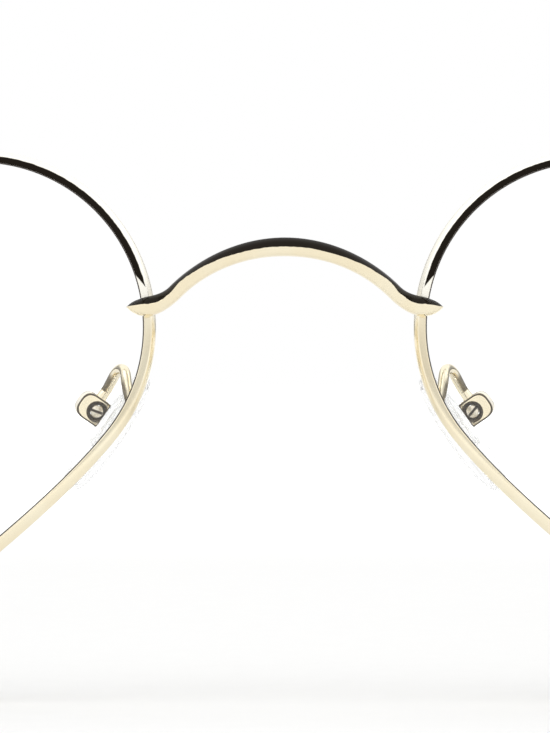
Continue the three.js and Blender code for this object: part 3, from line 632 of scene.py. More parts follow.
# %% Growth helper
class Growth(Tree):
    """A Geometry Nodes tree with named inputs that grows a mesh in millimetres."""

    def __init__(self, name, objects, numbers):
        super().__init__(bpy.data.node_groups.new(name, "GeometryNodeTree"))
        face = self.node_tree.interface
        face.new_socket("Geometry", in_out="OUTPUT", socket_type="NodeSocketGeometry")
        self.sockets = {}
        for kind, labels in (("Object", objects), ("Float", numbers), ("Material", ["finish"])):
            for label in labels:
                shown = label.replace("_", " ").title()
                socket = face.new_socket(shown, in_out="INPUT", socket_type=f"NodeSocket{kind}")
                self.sockets[label] = socket.identifier
        entry = self.node_tree.nodes.new("NodeGroupInput")
        self.inputs = {label: Value(self, out) for label, out in zip(self.sockets, entry.outputs)}

    def shape(self, label):
        return self.add("GeometryNodeObjectInfo", {}, {"Object": self.inputs[label]}, take="Geometry")

    def vector(self, x=0.0, y=0.0, z=0.0):
        return self.add("ShaderNodeCombineXYZ", {}, {0: x, 1: y, 2: z})

    def store(self, geometry, kind="FLOAT", **values):
        """The geometry with values kept on its points, each under its name."""
        for name, value in values.items():
            named = {"Geometry": geometry, "Name": name, "Value": value}
            geometry = self.add("GeometryNodeStoreNamedAttribute", {"data_type": kind}, named)
        return geometry

    def stored(self, name, kind="FLOAT"):
        return self.add("GeometryNodeInputNamedAttribute", {"data_type": kind}, {"Name": name})

    def end(self, geometry):
        real = self.add("GeometryNodeRealizeInstances", {}, {"Geometry": geometry})
        finish = {"Geometry": real, "Material": self.inputs["finish"]}
        dressed = self.add("GeometryNodeSetMaterial", {}, finish)
        self.add("NodeGroupOutput", {}, {"Geometry": dressed})
        print(f"{self.node_tree.name} tree: {len(self.node_tree.nodes)} nodes")

    def grow(self, **sizes):
        """A plain mesh from the tree; the objects that it read are deleted."""
        name = self.node_tree.name
        host = placed(name, bpy.data.meshes.new(name))
        modifier = host.modifiers.new(name, "NODES")
        modifier.node_group = self.node_tree
        for label, size in sizes.items():
            modifier[self.sockets[label]] = size
        mesh = evaluated_mesh(host)
        for size in sizes.values():
            if isinstance(size, bpy.types.Object):
                bpy.data.objects.remove(size)
        return mesh


def path_object(name, points, smooth=False, closed=False):
    """A curve for a tree to read, straight from point to point or smooth through them."""
    curve = bpy.data.curves.new(name, "CURVE")
    curve.dimensions = "3D"
    spline = curve.splines.new("BEZIER" if smooth else "POLY")
    spline.use_cyclic_u = closed
    knots = spline.bezier_points if smooth else spline.points
    knots.add(len(points) - 1)
    for knot, point in zip(knots, points):
        knot.co = point if smooth else (*point, 1)
        if smooth:
            knot.handle_left_type = knot.handle_right_type = "AUTO"
    return placed(name, curve)


# %% [markdown]
# ## Eyewires
# An eyewire is drawn wire, 0.85 mm across and 2 mm deep, with rounded edges, a bevel round the
# outside of its front and a V groove on the inside for the lens. A curve with a bevel object would
# give the shape, but not the paint. A tree gives both: the heart lies flat, the section is swept
# along it, and Set Position bends the flat ring to the lens's curve and turns it to the wrap. The
# section carries its own two coordinates into the sweep. With them, and with the height before the
# ring is bent, the tree says where the paint is: on the front only, short of the bevel, and down to
# a slanting end beside the bridge.
# The tree also marks the front of the wire, where the bevel beside the paint carries a painted
# highlight: gold painted almost white.

# %% Eyewire tree
# The painted highlight on the front bevel begins over this depth, in millimetres.
HIGHLIGHT_FADE = 0.2

curve_sizes = ["base_curve", "wrap_slope", "heart_half", "heart_middle", "heart_axis"]
paint_sizes = ["paint_level", "paint_lean", "paint_edge", "paint_depth"]
eyewire = Growth("eyewire", ["path", "section"], curve_sizes + paint_sizes)


def build_eyewire_tree(tree, given):
    position = tree.add("GeometryNodeInputPosition")
    x, y, z = (tree.axis(position, letter) for letter in "XYZ")

    level = tree.add("GeometryNodeSetCurveNormal", {"mode": "Z_UP"}, {"Curve": tree.shape("path")})
    section = tree.store(tree.shape("section"), across=x, depth=y)
    sweep = {"Curve": level, "Profile Curve": section, "Fill Caps": True}
    swept = tree.add("GeometryNodeCurveToMesh", {}, sweep)

    across, depth = tree.stored("across"), tree.stored("depth")
    over = y - given["paint_level"] + given["paint_lean"] * across
    front = depth - given["paint_depth"]
    cover = tree.math("MINIMUM", given["paint_edge"] - across, front)
    # Painted highlight: marks the front, where the bevel beside the paint is painted almost white.
    highlight = tree.ramp(front, 0.0, HIGHLIGHT_FADE)
    painted = tree.store(swept, paint_length=over, paint_width=cover, bare_edge=highlight)

    height = y - given["heart_middle"]
    radius = given["base_curve"]
    sag = radius - (radius * radius - x * x - height * height) ** 0.5
    wrap = given["wrap_slope"] * (x + given["heart_half"])
    place = tree.vector(x + given["heart_axis"], z + sag + wrap, y)
    tree.end(tree.add("GeometryNodeSetPosition", {}, {"Geometry": painted, "Position": place}))


build_eyewire_tree(eyewire, eyewire.inputs)

# %% [markdown]
# ### The wire's section
# The tree runs once for both sides. Its section has eight corners, rounded as a drawn wire is:
# hardly at the lips of the groove, which hold the lens, and most at the back, which faces the skin.

# %% Eyewire pieces
GROOVE_WIDTH = 1.0
GROOVE_DEPTH = 0.35
FRONT_BEVEL = 0.3
BACK_EDGE, INNER_BACK_EDGE, BEVEL_EDGE, LIP_EDGE, GROOVE_EDGE = 0.24, 0.16, 0.08, 0.05, 0.06
# The paint ends at a height that leans across the wire, at a place across it, and at a depth.
PAINT_LEVEL = 1.55
PAINT_LEAN = 1.9
PAINT_EDGE = 0.03
PAINT_DEPTH = 0.45

inside, outside, face, mouth = -RIM_WIDTH / 2, RIM_WIDTH / 2, RIM_DEPTH / 2, GROOVE_WIDTH / 2
# Each corner has a place across the wire, a place towards the front and a radius.
rim_corners = [
    (inside, mouth, LIP_EDGE),
    (inside + GROOVE_DEPTH, 0, GROOVE_EDGE),
    (inside, -mouth, LIP_EDGE),
    (inside, -face, INNER_BACK_EDGE),
    (outside, -face, BACK_EDGE),
    (outside, face - FRONT_BEVEL, BEVEL_EDGE),
    (outside - FRONT_BEVEL, face, BEVEL_EDGE),
    (inside, face, LIP_EDGE),
]
rim_section = rounded([Vector(c[:2]) for c in rim_corners], [c[2] for c in rim_corners])
eyewire_mesh = eyewire.grow(
    path=path_object("rim_path", [(p.x, p.y, 0) for p in rim_path]),
    section=path_object("rim_section", [(p.x, p.y, 0) for p in rim_section], closed=True),
    base_curve=BASE_CURVE,
    wrap_slope=WRAP_SLOPE,
    heart_half=HEART_HALF,
    heart_middle=HEART_MIDDLE,
    heart_axis=HEART_AXIS,
    paint_level=PAINT_LEVEL,
    paint_lean=PAINT_LEAN,
    paint_edge=PAINT_EDGE,
    paint_depth=PAINT_DEPTH,
    finish=painted_gold,
)
finish_pair("eyewire", eyewire_mesh, painted_gold, "front", "rim")

# %% [markdown]
# ## Lenses
# A lens has two polished faces with the same curve and a V bevel round its edge that sits in the
# groove. A flat disc could be bent by a modifier, but its faces would run across the heart. Here it
# is lofted from scaled copies of its own outline, so that rings of faces follow the heart and the
# reflections bend smoothly. The faces of the bevel are marked: an edging machine leaves them matt,
# and they carry a painted shade, almost black, where the groove shades them.

# %% Lens pieces
LENS_THICKNESS = 1.4
BEVEL_HEIGHT = 0.35
BEVEL_GAP = 0.1
LENS_SHARES = [0.06, 0.2, 0.35, 0.5, 0.64, 0.76, 0.86, 0.94, 1.0]


def outward(outline):
    """The direction out of a closed outline that is drawn clockwise, at each of its points."""
    count = len(outline)
    along = [(outline[(i + 1) % count] - outline[i - 1]).normalized() for i in range(count)]
    return [Vector((-t.y, t.x)) for t in along]


def on_eye(point, back):
    return Vector((HEART_AXIS + point.x, eye_surface(point.x, point.y) + back, point.y))


def lens_mesh():
    bevel_out = -RIM_WIDTH / 2 + GROOVE_DEPTH - BEVEL_GAP
    outs = outward(lens_outline)
    shoulder = [p + (bevel_out - BEVEL_HEIGHT) * out for p, out in zip(lens_outline, outs)]
    edge = [on_eye(p + bevel_out * out, 0) for p, out in zip(lens_outline, outs)]
    middle = Vector((0, HEART_MIDDLE))

    def scaled(share, back):
        return [on_eye(middle + (p - middle) * share, back) for p in shoulder]

    half = LENS_THICKNESS / 2
    front = [scaled(share, -half) for share in LENS_SHARES]
    rear = [scaled(share, half) for share in reversed(LENS_SHARES)]
    mesh = loft([*front, edge, *rear])
    # The bevel's faces: matt, and painted almost black as shade.
    ground = mesh.attributes.new("ground", "FLOAT", "FACE")
    # A loft's first two faces are its ends, then come its rings of faces in order.
    count = len(shoulder)
    first = 2 + count * (len(front) - 1)
    for i in range(first, first + 2 * count):
        ground.data[i].value = 1.0
    return mesh


finish_pair("curved_lens", lens_mesh(), polished_lens, "front", "lens")

# %% [markdown]
# ## Bridge
# The bridge is a cast bar. From the front it is an arch that turns the other way near its feet and
# ends in two leaves over the eyewires. Two arcs that meet at one slope draw half of the line, which
# needs fewer numbers than a free curve and is as smooth; then comes a straight stretch for the
# leaf.

# %% Bridge line
BRIDGE_RISE = 4.45
BRIDGE_FOOT_RADIUS = 3.8
BRIDGE_FOOT_LEVEL = 0.8
BRIDGE_LEAF = 1.7
BRIDGE_CROSSING = BRIDGE_GAP / 2
ARCH_STEPS, FOOT_STEPS, LEAF_STEPS = 40, 24, 16


def bridge_line():
    """Places along the right half of the bar: distance out, height and tilt."""
    level = BRIDGE_CROSSING + BRIDGE_FOOT_LEVEL
    slope = 2 * math.atan(BRIDGE_RISE / level)
    arch = level / math.sin(slope) - BRIDGE_FOOT_RADIUS
    line = []
    for tilt in even_steps(0, slope, ARCH_STEPS)[:-1]:
        line.append((arch * math.sin(tilt), BRIDGE_RISE - arch * (1 - math.cos(tilt)), tilt))
    for tilt in even_steps(slope, 0, FOOT_STEPS)[:-1]:
        across = level - BRIDGE_FOOT_RADIUS * math.sin(tilt)
        line.append((across, BRIDGE_FOOT_RADIUS * (1 - math.cos(tilt)), tilt))
    leaf = BRIDGE_LEAF - BRIDGE_FOOT_LEVEL
    for turn in even_steps(0, QUARTER, LEAF_STEPS):
        line.append((level + leaf * math.sin(turn), 0.0, 0.0))
    return line, arch * math.sin(slope)


right_half, waist_x = bridge_line()
print(f"bridge: waist at {waist_x:.2f} mm from the middle")

# %% [markdown]
# ### The bridge's section
# One section swept along the line would be the same everywhere. This bar is thinnest at its waist
# and runs out in a point, so each ring gets its own height and depth. The section has a ridge: a
# steep facet above it, painted black, and a nearly upright gold facet below. The black is a painted
# reflection: it stands in for the dark reflection of the space above that the top of a polished bar
# shows. The ridge climbs towards the top edge on the steep flanks of the arch, so that the black
# band is thin there, as that reflection is, and the points above the ridge carry the paint.

# %% Bridge piece
BRIDGE_DEPTH = 1.5
BRIDGE_LEAF_DEPTH = 0.7
BRIDGE_BOW = 0.6
APEX_HEIGHT, WAIST_HEIGHT, FOOT_HEIGHT, POINT_HEIGHT = 1.45, 1.2, 1.5, 0.14
LEAF_POWER = 0.75
SEAT_GAP = 0.06
# How much of the height carries the painted reflection, at distances from the middle.
DARK_REFLECTION_SHARES = [
    (0.0, 0.52),
    (3.3, 0.5),
    (4.8, 0.43),
    (6.3, 0.34),
    (7.5, 0.27),
    (8.5, 0.38),
    (9.3, 0.45),
    (10.0, 0.42),
    (10.4, 0.37),
    (11.7, 0.4),
]


def share_of(value, start, end):
    """How far a value is on its way from start to end, from 0 to 1."""
    return min(1.0, max(0.0, (value - start) / (end - start)))


def part_way(start, end, share):
    return start + (end - start) * share


def between(stops, at):
    """A value that goes smoothly from stop to stop."""
    for (start, low), (end, high) in zip(stops, stops[1:]):
        if at <= end:
            t = share_of(at, start, end)
            return part_way(low, high, t * t * (3 - 2 * t))
    return stops[-1][1]


def bridge_height(x):
    stops = [(0.0, APEX_HEIGHT), (waist_x, WAIST_HEIGHT), (BRIDGE_CROSSING, FOOT_HEIGHT)]
    if x <= BRIDGE_CROSSING:
        return between(stops, x)
    t = share_of(x, BRIDGE_CROSSING, BRIDGE_CROSSING + BRIDGE_LEAF)
    return max(POINT_HEIGHT, FOOT_HEIGHT * (1 - t * t) ** LEAF_POWER)


def bridge_section(height, depth, band):
    """Corners round the bar, as distance up and distance to the front, from the lower back edge."""
    # Each corner has a share of the height, a share of the depth and a radius.
    corners = [
        (-0.36, 0.0, 0.12),
        (0.36, 0.0, 0.12),
        (0.5, 0.28, 0.2),
        (0.5 - 0.36 * band, 0.66, 0.3),
        (0.5 - band, 1.0, 0.05),
        (-0.4, 0.9, 0.22),
        (-0.5, 0.6, 0.25),
        (-0.5, 0.3, 0.25),
    ]
    return rounded([Vector((c[0] * height, c[1] * depth)) for c in corners], [c[2] for c in corners])


def bridge_mesh():
    seat = eye_surface(RIM_WIDTH / 2 - HEART_HALF, -FOOT_HEIGHT / 2) - RIM_DEPTH / 2 - SEAT_GAP
    left_half = [(-x, z, -tilt) for x, z, tilt in right_half[1:]]
    rings = []
    above_ridge = []
    for x, z, tilt in left_half[::-1] + right_half:
        away = abs(x)
        bow = BRIDGE_BOW * max(0.0, 1 - (away / BRIDGE_CROSSING) ** 2)
        past = share_of(away, BRIDGE_CROSSING, BRIDGE_CROSSING + BRIDGE_LEAF)
        depth = part_way(BRIDGE_DEPTH, BRIDGE_LEAF_DEPTH, past**2)
        height, band = bridge_height(away), between(DARK_REFLECTION_SHARES, away)
        ring = []
        for up, out in bridge_section(height, depth, band):
            place = (x + up * math.sin(tilt), seat - bow - out, z + up * math.cos(tilt))
            ring.append(Vector(place))
            above_ridge.append(up - (0.5 - band) * height)
        rings.append(ring)
    mesh = loft(rings)
    # The painted reflection covers the points above the ridge.
    for name, values in (("paint_length", [1.0] * len(above_ridge)), ("paint_width", above_ridge)):
        mesh.attributes.new(name, "FLOAT", "POINT").data.foreach_set("value", values)
    return mesh


finish_piece("arched_bridge", bridge_mesh(), painted_gold, "front", ["bridge"], crease=50)

# %% [markdown]
# ## Endpieces
# An endpiece is a flat strap that leaves the eyewire, turns back and carries the hinge. It could be
# a bar that a modifier bends, but one rounded section carried round the bend keeps its edges even
# and its ends where the neighbours need them.

# %% Endpiece pieces
STRAP_THICKNESS = 1.2
STRAP_HEIGHT = 2.6
STRAP_EDGE = 0.3
ENDPIECE_REACH = 5.6
ENDPIECE_BEND = 3.2
BEND_STEPS = 24
END_CHAMFER = 0.14
RUNNING_GAP = 0.07

endpiece_start = HEART_AXIS + HEART_HALF + RIM_WIDTH / 2 + SEAT_GAP
strap_outer_x = endpiece_start + ENDPIECE_REACH
strap_inner_x = strap_outer_x - STRAP_THICKNESS


def endpiece_mesh():
    middle_bend = ENDPIECE_BEND - STRAP_THICKNESS / 2
    bend = Vector((strap_outer_x - ENDPIECE_BEND, ENDPIECE_FRONT + ENDPIECE_BEND))
    start = Vector((endpiece_start, ENDPIECE_FRONT + STRAP_THICKNESS / 2))
    end = Vector((bend.x + middle_bend, HINGE_Y - RUNNING_GAP / 2))

    def ring(place, turn, shrink=0.0):
        out = Vector((math.cos(turn), math.sin(turn)))
        section = rounded_rectangle(STRAP_THICKNESS - shrink, STRAP_HEIGHT - shrink, STRAP_EDGE)
        return [Vector((*(place + out * p.x), p.y)) for p in section]

    rings = [ring(start, -QUARTER, 2 * END_CHAMFER), ring(start + Vector((END_CHAMFER, 0)), -QUARTER)]
    for turn in even_steps(-QUARTER, 0, BEND_STEPS):
        rings.append(ring(bend + middle_bend * Vector((math.cos(turn), math.sin(turn))), turn))
    rings += [ring(end - Vector((0, END_CHAMFER)), 0.0), ring(end, 0.0, 2 * END_CHAMFER)]
    return loft(rings)


finish_pair("end_strap", endpiece_mesh(), pale_gold, "front", "endpiece")

# %% [markdown]
# ## Rim locks
# Behind each endpiece stand the two barrels of the rim lock, one on each end of the eyewire; a
# screw draws them together and closes the eyewire on the lens. They are turned and drilled, and are
# made that way here: a bar with its edges taken off, and a hole cut through it, whose wall is
# marked for painted shade.

# %% Rim lock pieces
LOCK_RADIUS = 1.1
LOCK_HEIGHT = 2.1
LOCK_CHAMFER = 0.16
RIM_SCREW_RADIUS = 0.5
# How far off its radius the wall of a hole may be.
WALL_SLACK = 0.02

lock_x = endpiece_start + LOCK_RADIUS
lock_y = ENDPIECE_FRONT + STRAP_THICKNESS + SEAT_GAP + LOCK_RADIUS
lock_levels = {
    "upper": RIM_SPLIT / 2 - WIDEST_DROP,
    "lower": -RIM_SPLIT / 2 - WIDEST_DROP - LOCK_HEIGHT,
}


def paint_hole_shade(mesh, radius):
    """Marks the wall of a hole along Z for painted shade: darker, duller gold."""
    recess = mesh.attributes.new("recess", "FLOAT", "FACE")
    for polygon in mesh.polygons:
        corners = [mesh.vertices[i].co.to_2d().length for i in polygon.vertices]
        recess.data[polygon.index].value = float(max(corners) < radius + WALL_SLACK)


def lock_mesh(bottom):
    hole = RIM_SCREW_RADIUS + SEAT_GAP
    barrel = bar(LOCK_RADIUS, 0, LOCK_HEIGHT, LOCK_CHAMFER)
    barrel = carved(barrel, "DIFFERENCE", bar(hole, -LOCK_HEIGHT, 2 * LOCK_HEIGHT))
    paint_hole_shade(barrel, hole)
    barrel.transform(Matrix.Translation((lock_x, lock_y, bottom)))
    return barrel


for which, bottom in lock_levels.items():
    finish_pair(f"lock_{which}", lock_mesh(bottom), pale_gold, "front", f"{which}_rim_lock", cut=True)

# %% [markdown]
# ## Hinges
# Three knuckles on one screw: two on the front's leaf, one on the temple's. Each leaf is a plate
# brazed to the inner side of its strap, with knuckles that stand beside it. Joining real shapes and
# cutting one hole through them keeps each leaf a single closed piece, and the edges are softened
# before they are joined.

# %% Hinge pieces
KNUCKLE_RADIUS = 1.0
KNUCKLE_HEIGHT = 1.15
KNUCKLE_CHAMFER = 0.1
LEAF_THICKNESS = 0.6
LEAF_HEIGHT = 2.0
LEAF_EDGE = 0.12
FRONT_LEAF_LENGTH = 2.8
TEMPLE_LEAF_LENGTH = 4.5
# A web is a little smaller than what it joins, because two faces in one plane spoil a Boolean.
WEB_SIDE_INSET, WEB_END_INSET = 0.01, 0.02
HINGE_SCREW_RADIUS = 0.55
TEMPLE_DROOP = math.radians(5)

hinge_x = strap_inner_x - SEAT_GAP - KNUCKLE_RADIUS
knuckle_pitch = KNUCKLE_HEIGHT + RUNNING_GAP


def leaf_mesh(levels, plate_length, direction, droop):
    near = KNUCKLE_RADIUS + RUNNING_GAP
    plate_x = KNUCKLE_RADIUS - LEAF_THICKNESS
    web_x = KNUCKLE_RADIUS - WEB_SIDE_INSET
    ends = sorted([direction * near, direction * (near + plate_length)])
    web_ends = sorted([0.0, direction * (near + LEAF_THICKNESS)])
    half = LEAF_HEIGHT / 2
    plate = block((plate_x, ends[0], -half), (KNUCKLE_RADIUS, ends[1], half))
    plate = softened(plate, LEAF_EDGE, segments=3)
    plate.transform(Matrix.Rotation(-droop, 4, "X"))
    joined = []
    for level in levels:
        low, high = level - KNUCKLE_HEIGHT / 2, level + KNUCKLE_HEIGHT / 2
        web_low = (plate_x, web_ends[0], low + WEB_END_INSET)
        web_high = (web_x, web_ends[1], high - WEB_END_INSET)
        joined += [block(web_low, web_high), bar(KNUCKLE_RADIUS, low, high, KNUCKLE_CHAMFER)]
    leaf = carved(plate, "UNION", *joined)
    hole = HINGE_SCREW_RADIUS + RUNNING_GAP
    leaf = carved(leaf, "DIFFERENCE", bar(hole, -4 * KNUCKLE_HEIGHT, 4 * KNUCKLE_HEIGHT))
    # The hole's wall gets painted shade.
    paint_hole_shade(leaf, hole)
    leaf.transform(Matrix.Translation((hinge_x, HINGE_Y, 0)))
    return leaf


front_leaf = leaf_mesh([-knuckle_pitch, knuckle_pitch], FRONT_LEAF_LENGTH, -1, 0.0)
temple_leaf = leaf_mesh([0.0], TEMPLE_LEAF_LENGTH, 1, TEMPLE_DROOP)
finish_pair("hinge_two_knuckles", front_leaf, pale_gold, "front", "front_hinge_leaf", cut=True)
finish_pair("hinge_one_knuckle", temple_leaf, pale_gold, "{side}_temple", "temple_hinge_leaf", cut=True)

# %% [markdown]
# ## Temples
# A temple is a flat strip that droops a little, narrows to a core and bends down behind the ear. A
# bevelled curve would have one section all along, so the temple is a loft: one function sets a
# section square to the temple's line at any distance from the hinge, and the tip uses the same
# function.

# %% Temple line
TEMPLE_STRAIGHT = 104.0
TIP_BEND_RADIUS = 24.0
TIP_ANGLE = math.radians(47)
TIP_LENGTH = 48.0
TIP_END_HEIGHT = 4.6
TIP_INWARD = 2.4

stand_height = HEART_DROP + RIM_WIDTH / 2
tip_round = TIP_END_HEIGHT / 2
bend_length = TIP_BEND_RADIUS * (TIP_ANGLE - TEMPLE_DROOP)
bend_drop = TIP_BEND_RADIUS * (math.cos(TEMPLE_DROOP) - math.cos(TIP_ANGLE))
straight_drop = TEMPLE_STRAIGHT * math.sin(TEMPLE_DROOP)
tip_run = (stand_height - tip_round - straight_drop - bend_drop) / math.sin(TIP_ANGLE)
temple_length = TEMPLE_STRAIGHT + bend_length + tip_run + tip_round
tip_mouth = temple_length - TIP_LENGTH
strap_middle_x = strap_outer_x - STRAP_THICKNESS / 2


def temple_ring(distance, section):
    """A section set square to the temple's line, at a distance along it from the hinge."""
    straight = min(distance, TEMPLE_STRAIGHT)
    bent = min(max(0.0, distance - TEMPLE_STRAIGHT), bend_length)
    run = max(0.0, distance - TEMPLE_STRAIGHT - bend_length)
    angle = TEMPLE_DROOP + bent / TIP_BEND_RADIUS
    back = straight * math.cos(TEMPLE_DROOP) + run * math.cos(TIP_ANGLE)
    back += TIP_BEND_RADIUS * (math.sin(angle) - math.sin(TEMPLE_DROOP))
    drop = straight * math.sin(TEMPLE_DROOP) + run * math.sin(TIP_ANGLE)
    drop += TIP_BEND_RADIUS * (math.cos(TEMPLE_DROOP) - math.cos(angle))
    past = max(0.0, distance - TEMPLE_STRAIGHT) / (temple_length - TEMPLE_STRAIGHT)
    place = Vector((strap_middle_x - TIP_INWARD * past**2, HINGE_Y + back, -drop))
    up = Vector((0, math.sin(angle), math.cos(angle)))
    return [place + Vector((p.x, 0, 0)) + up * p.y for p in section]


print(f"temple: {temple_length:.1f} mm along its line, tip from {tip_mouth:.1f} mm")

# %% Temple pieces
TEMPLE_CORE_HEIGHT = 1.5
TEMPLE_TAPER_START = 20.0
TEMPLE_EDGE = 0.28
TIP_SOLID_END = 9.0
FIRST_STATION = 4.0
STRAIGHT_STEPS, CORE_STEPS = 50, 40

core_end = temple_length - TIP_SOLID_END


def temple_mesh():
    def section(distance, shrink=0.0):
        share = share_of(distance, TEMPLE_TAPER_START, tip_mouth)
        height = part_way(STRAP_HEIGHT, TEMPLE_CORE_HEIGHT, share)
        return rounded_rectangle(STRAP_THICKNESS - shrink, height - shrink, TEMPLE_EDGE)

    def upright(y, shrink):
        return [Vector((strap_middle_x + p.x, y, p.y)) for p in section(0, shrink)]

    front_y = HINGE_Y + RUNNING_GAP / 2
    stations = even_steps(FIRST_STATION, TEMPLE_STRAIGHT, STRAIGHT_STEPS)
    stations += even_steps(TEMPLE_STRAIGHT, core_end, CORE_STEPS)[1:]
    rings = [upright(front_y, 2 * END_CHAMFER), upright(front_y + END_CHAMFER, 0)]
    rings += [temple_ring(distance, section(distance)) for distance in stations]
    return loft(rings)


finish_pair("side_arm", temple_mesh(), pale_gold, "{side}_temple", "temple")

# %% [markdown]
# ## Temple tips
# A tip is a black plastic sleeve that is pushed over the temple's core and swells towards a rounded
# end. Its rings go along the bore, over the lip of its mouth, back along the outside and round the
# end, so that it is one closed skin with a real hole, and it always fits its core.

# %% Temple tip pieces
TIP_MOUTH_HEIGHT = 3.0
TIP_MOUTH_THICKNESS = 2.4
TIP_END_THICKNESS = 2.8
TIP_EDGE_SHARE = 0.48
MOUTH_LIP = 0.3
BODY_START = 2.0
BORE_STEPS, LIP_STEPS, BODY_STEPS = 30, 4, 70
# The end is round, up to its last two rings, which close it with a flatter cap.
ROUND_STOPS = (0.12, 0.24, 0.36, 0.48, 0.58, 0.67, 0.75, 0.82, 0.87, 0.905)
CAP_STOPS = ((0.925, 0.3), (0.935, 0.15))
# The tip is this much smaller than its solid, so that it stays in the solid's box.
HAIR = 0.02


def tip_mesh():
    gap = 2 * SEAT_GAP
    bore = rounded_rectangle(STRAP_THICKNESS + gap, TEMPLE_CORE_HEIGHT + gap, TEMPLE_EDGE, steps=8)

    def outside(distance, share=1.0, shrink=0.0):
        t = (distance - tip_mouth) / TIP_LENGTH
        height = part_way(TIP_MOUTH_HEIGHT, TIP_END_HEIGHT, t) * share - shrink - HAIR
        thick = part_way(TIP_MOUTH_THICKNESS, TIP_END_THICKNESS, t) * share - shrink - HAIR
        return temple_ring(distance, rounded_rectangle(thick, height, TIP_EDGE_SHARE * thick, steps=8))

    end_start = temple_length - tip_round - HAIR
    inner = [core_end + gap, *even_steps(core_end, TEMPLE_STRAIGHT, BORE_STEPS), tip_mouth]
    rings = [temple_ring(distance, bore) for distance in inner]
    for turn in even_steps(0.0, QUARTER, LIP_STEPS):
        lip = MOUTH_LIP * (1 - math.sin(turn))
        rings.append(outside(tip_mouth + MOUTH_LIP * (1 - math.cos(turn)), 1, 2 * lip))
    body = even_steps(tip_mouth + BODY_START, end_start, BODY_STEPS)
    rings += [outside(distance) for distance in body]
    end_stops = [(t, math.sqrt(1 - t * t)) for t in ROUND_STOPS]
    rings += [outside(end_start + tip_round * t, share) for t, share in (*end_stops, *CAP_STOPS)]
    return loft(rings)


finish_pair("ear_tip", tip_mesh(), black_plastic, "{side}_temple", "temple_tip", crease=60)

# %% [markdown]
# ## Where a nose pad sits
# A pad has its own frame: X towards the nose, Y to the front along the pad screw, Z up along the
# pad. The frame starts from the place on the back of the eyewire where the pad arm is brazed.

# %% Pad frame
PAD_ARM_DROP = 7.4
PAD_OUT = 2.8
PAD_DOWN = 0.3
PAD_BACK = 3.9
PAD_SPLAY = math.radians(35)
PAD_TURN = math.radians(9)

root_turn = math.pi + math.asin((PAD_ARM_DROP - WIDEST_DROP) / LOBE_RADIUS)
root_point = Vector((-LOBE_X, -WIDEST_DROP))
root_point += LOBE_RADIUS * Vector((math.cos(root_turn), math.sin(root_turn)))
arm_root = on_eye(root_point, RIM_DEPTH / 2 + SEAT_GAP)

pad_place = arm_root + Vector((PAD_OUT, PAD_BACK, -PAD_DOWN))
pad_up = Vector((-math.sin(PAD_SPLAY), 0, math.cos(PAD_SPLAY)))
level_to_nose = Vector((-math.cos(PAD_SPLAY), 0, -math.sin(PAD_SPLAY)))
pad_to_nose = level_to_nose * math.cos(PAD_TURN) + Vector((0, math.sin(PAD_TURN), 0))
pad_front = pad_up.cross(pad_to_nose)
pad_axes = Matrix((pad_to_nose, pad_front, pad_up)).transposed()
PAD_FRAME = Matrix.Translation(pad_place) @ pad_axes.to_4x4()
off_axis = (TO_FRAME @ pad_place - Vector(joint_place("left_pad_rock"))).length / MM
print(f"pad frame: {off_axis:.4f} mm from the rocking joint")

# %% [markdown]
# ## Pad arms
# A pad arm is a bent wire, brazed to the back of the eyewire and to the rear wall of the pad box.
# It follows a path, so a tree sweeps a circle along it and swells the wire at both ends, where the
# solder runs up it. A little further on, one side of the wire carries a painted shade, a darker and
# duller streak beside the bend: the tree marks it, by the distance to the nearest end and by which
# way the surface looks.

# %% Pad arm tree
WIRE_STATIONS, WIRE_SIDES = 90, 28
# Where the painted shade starts, is full and begins to fade, as shares of its length.
SHADE_FROM, SHADE_FULL, SHADE_FADE = 0.15, 0.3, 0.7
WIRE_SHADE = 0.85
SHADED_SIDE_FROM, SHADED_SIDE_FULL = 0.05, 0.5

pad_wire = Growth("pad_wire", ["path"], ["wire_diameter", "solder", "solder_length", "dull_length"])


def build_pad_wire_tree(tree, given):
    stations = {"Curve": tree.shape("path"), "Count": WIRE_STATIONS}
    smooth = tree.add("GeometryNodeResampleCurve", {"mode": "COUNT"}, stations)
    round_sizes = {"Resolution": WIRE_SIDES, "Radius": given["wire_diameter"] * 0.5}
    ring = tree.add("GeometryNodeCurvePrimitiveCircle", {}, round_sizes, take="Curve")
    along = tree.add("GeometryNodeSplineParameter", take="Length")
    whole = tree.add("GeometryNodeSplineLength", take="Length")
    nearest_end = tree.math("MINIMUM", along, whole - along)
    swell = 1 + given["solder"] * (1 - tree.ramp(nearest_end, 0.0, given["solder_length"]))
    measured = tree.store(smooth, near_end=nearest_end)
    sweep = {"Curve": measured, "Profile Curve": ring, "Scale": swell, "Fill Caps": True}
    wire = tree.add("GeometryNodeCurveToMesh", {}, sweep)

    near_end = tree.stored("near_end")
    shade_reach = given["dull_length"]
    stretch = tree.ramp(near_end, shade_reach * SHADE_FROM, shade_reach * SHADE_FULL)
    stretch = stretch * (1 - tree.ramp(near_end, shade_reach * SHADE_FADE, shade_reach))
    # Painted shade: one side of the wire, chosen by which way it looks, is darker and duller.
    outwards = tree.axis(tree.add("GeometryNodeInputNormal"), "X")
    shaded_side = tree.ramp(outwards, SHADED_SIDE_FROM, SHADED_SIDE_FULL)
    tree.end(tree.store(wire, recess=WIRE_SHADE * stretch * shaded_side))


build_pad_wire_tree(pad_wire, pad_wire.inputs)

